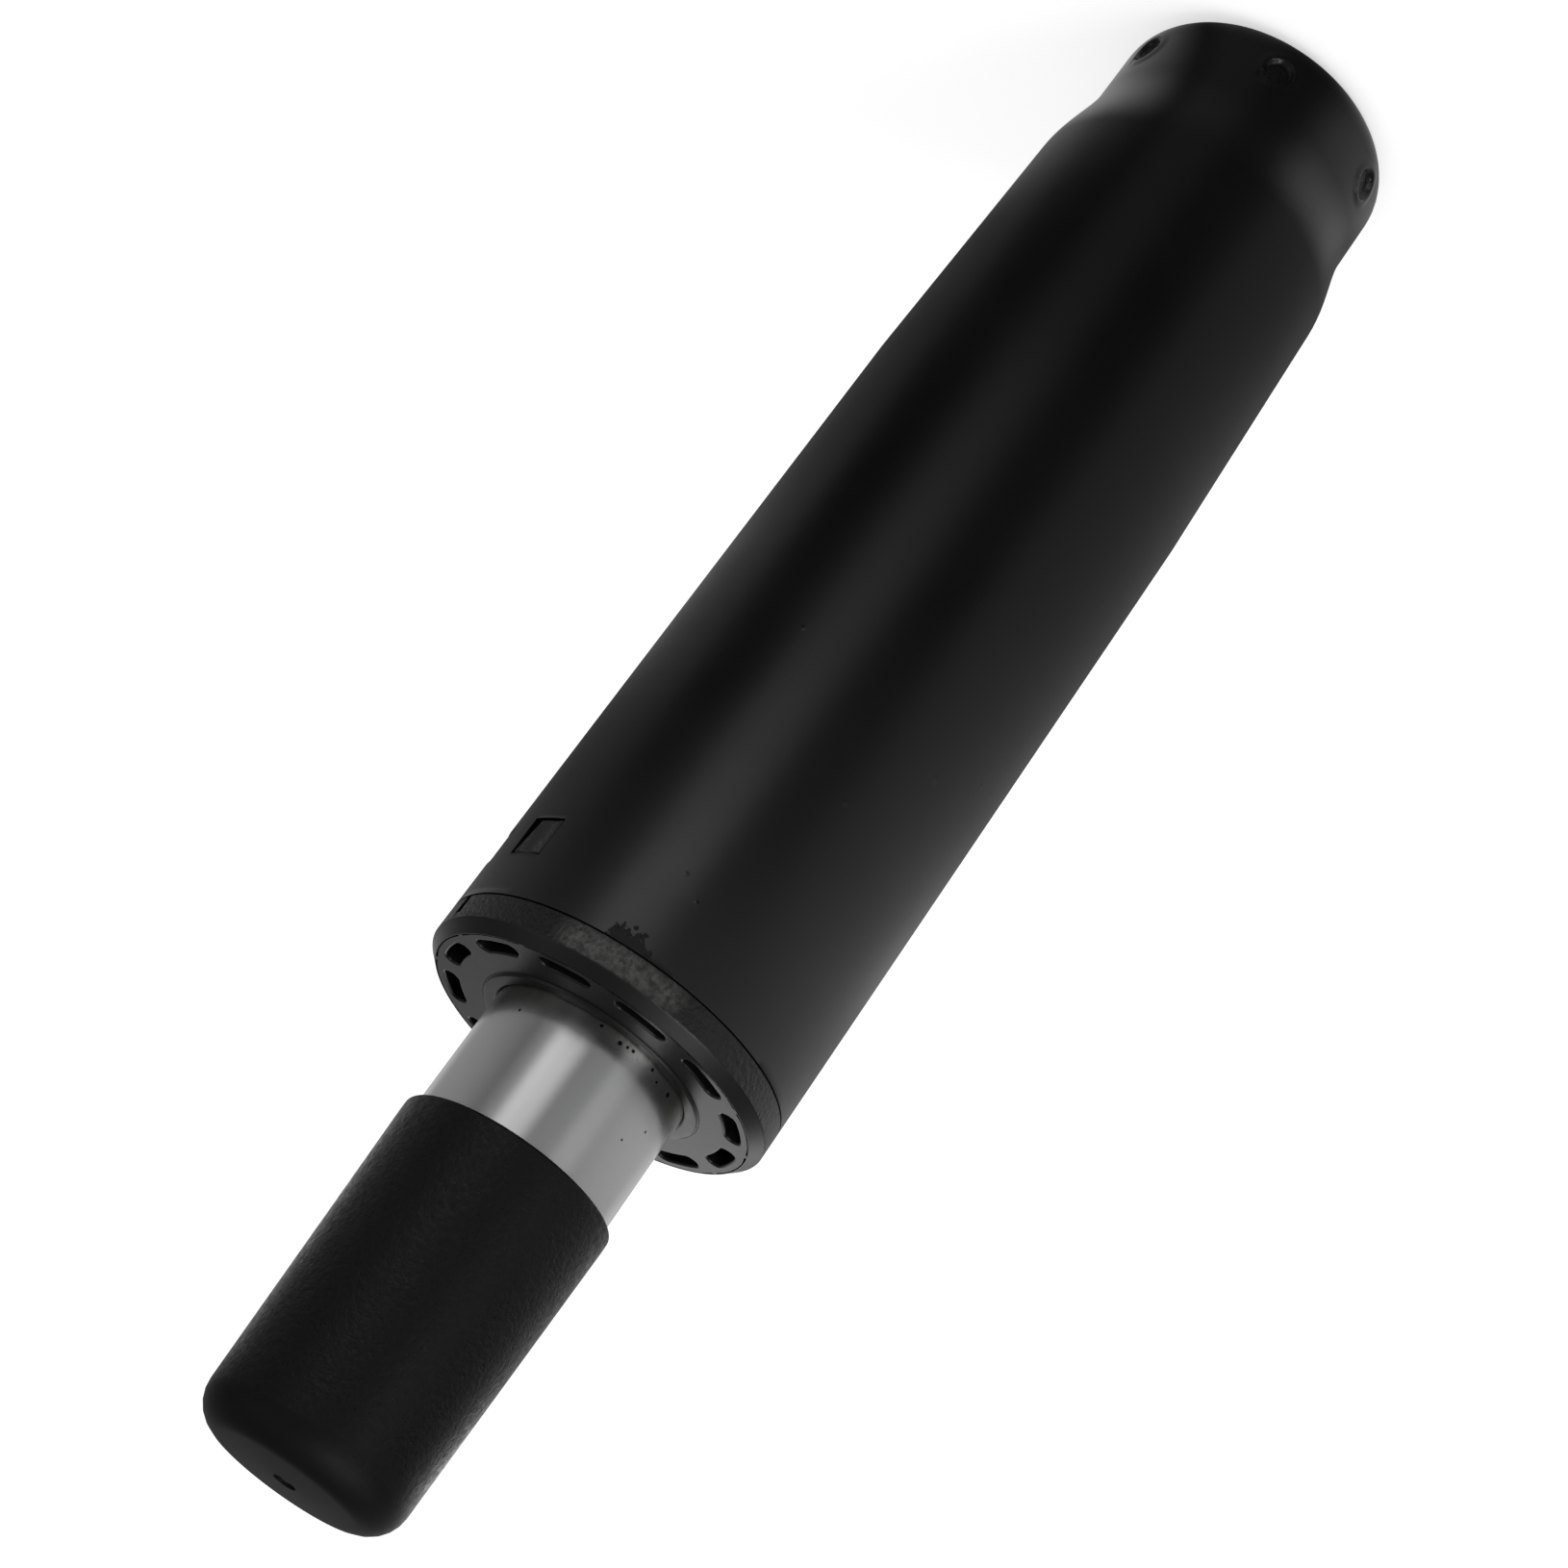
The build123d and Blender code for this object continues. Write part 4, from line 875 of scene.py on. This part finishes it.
shape.to_mesh(bushing.data)
shape.free()
dress(bushing, "column", "bushing_plastic", "guide_bushing")

# %% [markdown]
# The barrel is one turned shell: rolled in at both ends, and drawn down from a shoulderless line to
# the taper that the seat plate sits on. It has more columns than the rest, because polished metal
# shows every facet.

# %% Barrel
BARREL_WALL = 1.5
BARREL_BOTTOM = 25.3
BARREL_TOP = 238.0
BARREL_COLUMNS = 256
SEAT_TAPER_START = 202.0
TAPER_ROUND = 4.0
OPENING_ROUND = 0.15
BARREL_LOWER_ROUND = 2.6
BARREL_UPPER_ROUND = 2.2
BARREL_LOWER_OPENING = 8.0
BARREL_UPPER_OPENING = 5.6
barrel_top_radius = BARREL_RADIUS - (BARREL_TOP - SEAT_TAPER_START) * TAPER_SLOPE
inner_radius = BARREL_RADIUS - BARREL_WALL
inner_bottom = BARREL_BOTTOM + BARREL_WALL
inner_top = BARREL_TOP - BARREL_WALL
barrel_outline = soften(
    [
        (BARREL_LOWER_OPENING, BARREL_BOTTOM, OPENING_ROUND),
        (BARREL_RADIUS, BARREL_BOTTOM, BARREL_LOWER_ROUND),
        (BARREL_RADIUS, SEAT_TAPER_START, TAPER_ROUND),
        (barrel_top_radius, BARREL_TOP, BARREL_UPPER_ROUND),
        (BARREL_UPPER_OPENING, BARREL_TOP, OPENING_ROUND),
        (BARREL_UPPER_OPENING, inner_top, OPENING_ROUND),
        (barrel_top_radius - BARREL_WALL, inner_top, BARREL_UPPER_ROUND - BARREL_WALL),
        (inner_radius, SEAT_TAPER_START, TAPER_ROUND),
        (inner_radius, inner_bottom, BARREL_LOWER_ROUND - BARREL_WALL),
        (BARREL_LOWER_OPENING, inner_bottom, OPENING_ROUND),
    ]
)
dress(turned("barrel", barrel_outline, BARREL_COLUMNS), "cylinder", "ground_steel", "pressure_tube")

# %% [markdown]
# The cap is a soft cup, slightly crowned, with a round dimple and a nub in the middle of its end
# where the plastic entered the mould. All of that is round, so it is one outline too.

# %% Protective cap
CAP_MOUTH = 200.4
CAP_TOP = 246.5
CAP_WALL = 1.1
CAP_END_WALL = 1.5
CAP_BORE = 14.1
CAP_CORNER_ROUND = 4.7
CAP_CROWN = 0.35
CAP_LIP_ROUND = 0.45
CAP_BORE_ROUND = 0.1
GATE_RADIUS = 1.6
GATE_DEPTH = 0.6
GATE_DRAFT = 0.1
GATE_ROUND = 0.08
GATE_NUB_RADIUS = 0.55
GATE_NUB_SINK = 0.25
cap_rim_height = CAP_TOP - CAP_CROWN
cap_rim_radius = CAP_BORE + CAP_WALL - (cap_rim_height - SEAT_TAPER_START) * TAPER_SLOPE
crown_radius = cap_rim_radius - CAP_CORNER_ROUND
gate_rim_height = CAP_TOP - CAP_CROWN * (GATE_RADIUS / crown_radius) ** 2

cap_outline = soften(
    [
        (CAP_BORE, CAP_MOUTH, CAP_BORE_ROUND),
        (CAP_BORE + CAP_WALL, CAP_MOUTH, CAP_LIP_ROUND),
        (CAP_BORE + CAP_WALL, SEAT_TAPER_START, 0),
        (cap_rim_radius, cap_rim_height, CAP_CORNER_ROUND),
        (GATE_RADIUS, gate_rim_height, GATE_ROUND),
        (GATE_RADIUS - GATE_DRAFT, CAP_TOP - GATE_DEPTH, GATE_ROUND),
        (GATE_NUB_RADIUS + GATE_DRAFT, CAP_TOP - GATE_DEPTH, GATE_ROUND),
        (GATE_NUB_RADIUS, CAP_TOP - GATE_NUB_SINK, GATE_ROUND),
        (0, CAP_TOP - GATE_NUB_SINK, 0),
        (0, CAP_TOP - CAP_END_WALL, 0),
        (cap_rim_radius - CAP_WALL, CAP_TOP - CAP_END_WALL, CAP_CORNER_ROUND - CAP_WALL),
        (CAP_BORE, SEAT_TAPER_START, 0),
    ]
)
dress(turned("soft_cap", cap_outline), "cap", "cap_plastic", "protective_cap")

# %% [markdown]
# The camera was fitted to the outlines in the photograph: it stands in front of the column, looks
# down on it and is rolled, so that the column lies across the picture. The floor and the background
# are white and evenly lit, as on a packshot. Both send white to the camera and to mirror-like rays,
# and the floor keeps a soft shadow of the column.

# %% Camera
LENS_PLACE = (0.2, -371.8, 311.9)
LENS_DOWN = 25.39
LENS_ROLL = -144.3
camera_data = bpy.data.cameras.new("camera")
camera_data.lens = 71.53
camera_data.sensor_width = 36.0
camera_data.clip_end = 100.0
camera = bpy.data.objects.new("camera", camera_data)
scene.collection.objects.link(camera)
tilt = Euler((radians(90 - LENS_DOWN), 0, 0)).to_matrix().to_4x4()
roll = Matrix.Rotation(radians(LENS_ROLL), 4, "Z")
camera.matrix_world = Matrix.Translation(Vector(LENS_PLACE) * MM) @ tilt @ roll
scene.camera = camera
scene.view_settings.view_transform = "Standard"
print("camera at", LENS_PLACE, "mm")

# %% World
SKY_LEVEL = 0.5


def seen_rays(tree):
    """1 for rays that show white: the camera's, those of gloss and those through glass."""
    path = add_node(tree, "ShaderNodeLightPath").outputs
    inputs = [path["Is Camera Ray"], path["Is Glossy Ray"]]
    seen = add_node(tree, "ShaderNodeMath", inputs, operation="MAXIMUM")
    return add_node(tree, "ShaderNodeMath", [seen, path["Is Transmission Ray"]], operation="MAXIMUM")


world = bpy.data.worlds.new("studio")
world.use_nodes = True
scene.world = world
tree = world.node_tree
tree.nodes.clear()
soft_sky = add_node(tree, "ShaderNodeBackground", {"Color": (1, 1, 1, 1), "Strength": SKY_LEVEL})
white_sky = add_node(tree, "ShaderNodeBackground", {"Color": (1, 1, 1, 1), "Strength": 1.0})
sky = add_node(tree, "ShaderNodeMixShader", [seen_rays(tree), soft_sky, white_sky])
add_node(tree, "ShaderNodeOutputWorld", {"Surface": sky})

# %% Lamps
LAMP_AIM = (0, 0, 0.12)
for name, spot, width, power in (
    ("key_lamp", (-0.9, -0.9, 1.5), 0.9, 9.0),
    ("fill_lamp", (1.2, -0.5, 1.2), 0.9, 1.2),
):
    lamp = bpy.data.lights.new(name, "AREA")
    lamp.shape = "SQUARE"
    lamp.size = width
    lamp.energy = power
    holder = bpy.data.objects.new(name, lamp)
    scene.collection.objects.link(holder)
    aim = Vector(LAMP_AIM) - Vector(spot)
    holder.matrix_world = Matrix.Translation(spot) @ aim.to_track_quat("-Z", "Y").to_matrix().to_4x4()
    print(name, power, "W")

# %% Floor
FLOOR_SIZE = 12.0
FLOOR_GLOW = 0.55
shape = bmesh.new()
bmesh.ops.create_grid(shape, x_segments=1, y_segments=1, size=FLOOR_SIZE / 2)
floor = finished("floor", shape)
material, tree, shader, place = new_finish("white paper floor", "#F4F4F4", 0.9)
glow = add_node(tree, "ShaderNodeMath", [seen_rays(tree), FLOOR_GLOW], operation="MULTIPLY")
feed(shader, {"Emission Color": (1, 1, 1, 1), "Emission Strength": glow})
floor.data.materials.append(material)

# %% [markdown]
# What gloss paint and ground steel show is what they reflect. Real cards could stand round the
# column, but each would need a stand, a place and a size. So a disc just above the floor, a dome and
# a small card behind the flange shine instead, and only glossy rays see them. A card of the disc has
# a direction, a width and a level that changes with the distance from the axis, and one of the dome
# has a level that changes with the height. All cards fade at their sides, as cards of cloth do.

# %% Cards for reflections
CARD_RADIUS = 2.5


def card(tree, place, azimuth, half_width):
    """1 towards this azimuth in degrees, fading to 0 at half the card's width."""
    flat = add_node(tree, "ShaderNodeVectorMath", [place, (1, 1, 0)], operation="MULTIPLY")
    flat = add_node(tree, "ShaderNodeVectorMath", [flat], operation="NORMALIZE")
    along = add_node(tree, "ShaderNodeVectorMath", [flat, around(1, azimuth, 0)], operation="DOT_PRODUCT")
    inputs = [along.outputs["Value"], cos(radians(half_width)), 1, 0, 1]
    return add_node(tree, "ShaderNodeMapRange", inputs, interpolation_type="SMOOTHSTEP")


def level_along(tree, distance, stops):
    """A level that passes smoothly through stops of a distance in millimetres and a level."""
    level = stops[0][1]
    for (start, before), (end, after) in zip(stops, stops[1:]):
        inputs = [distance, start, end, 0, after - before]
        change = add_node(tree, "ShaderNodeMapRange", inputs, interpolation_type="SMOOTHSTEP")
        level = add_node(tree, "ShaderNodeMath", [level, change])
    return level


def with_cards(tree, place, distance, level, cards):
    """The level with white cards added, and black ones that take a share of it away, in this order."""
    for colour, azimuth, half_width, stops in cards:
        shape = card(tree, place, azimuth, half_width)
        strength = level_along(tree, distance, stops)
        part = add_node(tree, "ShaderNodeMath", [shape, strength], operation="MULTIPLY")
        if colour == "white":
            level = add_node(tree, "ShaderNodeMath", [level, part])
        else:
            kept = add_node(tree, "ShaderNodeMath", [1.0, part], operation="SUBTRACT")
            level = add_node(tree, "ShaderNodeMath", [level, kept], operation="MULTIPLY")
    return level


def only_for_gloss(piece, material, shader, level):
    """A stage piece that shines white at this level and is seen by glossy rays alone."""
    feed(shader, {"Emission Color": (1, 1, 1, 1), "Emission Strength": level})
    piece.data.materials.append(material)
    piece.visible_camera = False
    piece.visible_diffuse = False
    piece.visible_transmission = False
    piece.visible_volume_scatter = False
    piece.visible_shadow = False
    print(piece.name, len(material.node_tree.nodes), "nodes")


# %% Cards on the floor
FLOOR_CLEARANCE = 0.2
# colour, azimuth, half width, then stops of distance and level
floor_table = (
    ("black", 70, 100, ((260, 0.5), (340, 0.76), (450, 0.68), (560, 0.05))),
    ("black", -66, 45, ((110, 0.35), (170, 0.0))),
    ("white", 155, 80, ((70, 0.0), (108, 0.08), (166, 0.03), (260, 0.08), (350, 0.4), (455, 0.14))),
    ("white", 185, 62, ((455, 0.0), (560, 0.65), (640, 0.1), (760, -0.1))),
    ("white", 40, 60, ((180, 0.0), (235, 0.18), (255, 0.18), (310, 0.0))),
    ("black", -22, 33, ((90, 0.9), (110, 0.7), (150, 0.9), (440, 0.9), (560, 0.05))),
    ("black", -27, 16, ((500, 0.0), (640, 0.3))),
    ("black", 4, 24, ((280, 0.0), (345, 0.5), (450, 0.45), (540, 0.0))),
    ("black", -100, 30, ((40, 0.6), (100, 0.8), (430, 0.8), (520, 0.0))),
    ("black", -110, 30, ((200, 0.0), (300, 0.35), (400, 0.2), (450, 0.0))),
    ("black", 158, 30, ((430, 0.0), (470, 0.42), (520, 0.0))),
    ("black", 34, 30, ((380, 0.0), (470, 0.3), (520, 0.0))),
    ("black", -120, 110, ((690, 0.0), (840, 0.9))),
    ("white", -65, 24, ((60, 0.0), (240, 0.1), (340, 0.15), (400, 0.6), (455, 2.0))),
    ("white", -65, 24, ((455, 0.0), (570, -0.6), (640, -1.35), (740, -0.9), (900, -1.3))),
    ("white", -46, 20, ((500, 0.0), (565, 1.3), (640, 0.4), (700, 0.1))),
    ("white", -104, 26, ((500, 0.0), (560, 1.3), (640, 0.7), (760, 0.0))),
    ("white", 8, 48, ((520, 0.0), (580, 0.4), (640, 0.12), (1000, 0.2))),
    ("white", 72, 30, ((640, 0.0), (820, 1.9))),
    ("white", 122, 26, ((650, 0.0), (740, 1.5), (880, 0.2))),
    ("white", 15, 60, ((46, 0.22), (80, 0.0))),
    ("white", 8, 50, ((32, 0.36), (50, 0.0))),
    ("white", -150, 48, ((32, 0.32), (50, 0.0))),
)
paper_stops = ((40, 0.2), (600, 0.5))
haze_stops = ((510, 0.0), (575, 0.24), (660, 0.1))
far_stops = ((520, 1.0), (690, 0.55), (900, 0.5), (1200, 0.2))
shape = bmesh.new()
bmesh.ops.create_circle(shape, cap_ends=True, segments=96, radius=CARD_RADIUS)
bmesh.ops.translate(shape, vec=(0, 0, FLOOR_CLEARANCE * MM), verts=shape.verts)
floor_cards = finished("floor_cards", shape)
material, tree, shader, place = new_finish("floor cards", "#000000", 1.0, specular=0.0)
distance = axis_distance(tree, place)
paper = level_along(tree, distance, paper_stops)
level = with_cards(tree, place, distance, paper, floor_table)
level = add_node(tree, "ShaderNodeMath", [level, level_along(tree, distance, haze_stops)])
far = level_along(tree, distance, far_stops)
level = add_node(tree, "ShaderNodeMath", [level, far], operation="MULTIPLY")
only_for_gloss(floor_cards, material, shader, level)

# %% Cards above
DOME_LEVEL = 0.12
TINY = 1e-6
# colour, azimuth, half width, then stops of height and level
upper_table = (
    ("white", 100, 60, ((625, 0.6), (1500, 0.0))),
    ("white", -128, 16, ((625, 1.5), (1500, 0.0))),
    ("white", -54, 12, ((625, 0.15), (1500, 0.0))),
)
shape = bmesh.new()
bmesh.ops.create_uvsphere(shape, u_segments=64, v_segments=32, radius=CARD_RADIUS)
bmesh.ops.delete(shape, geom=[vert for vert in shape.verts if vert.co.z < -TINY], context="VERTS")
bmesh.ops.reverse_faces(shape, faces=shape.faces)
upper_cards = finished("upper_cards", shape)
material, tree, shader, place = new_finish("upper cards", "#000000", 1.0, specular=0.0)
height = add_node(tree, "ShaderNodeSeparateXYZ", [place]).outputs["Z"]
level = with_cards(tree, place, height, DOME_LEVEL, upper_table)
only_for_gloss(upper_cards, material, shader, level)

# %% Card behind the flange
BACK_CARD_PLACE = 140.0
BACK_CARD_LEVEL = 1.7
back_card_corners = ((-4, 196), (-170, 196), (-170, 248), (-4, 248))
shape = bmesh.new()
shape.faces.new([shape.verts.new(Vector((x, BACK_CARD_PLACE, z)) * MM) for x, z in back_card_corners])
back_card = finished("back_card", shape)
material, tree, shader, place = new_finish("back card", "#000000", 1.0, specular=0.0)
only_for_gloss(back_card, material, shader, BACK_CARD_LEVEL)

# %% [markdown]
# At the end the scene is brought up to date.

# %% Last update of the scene
bpy.context.view_layer.update()
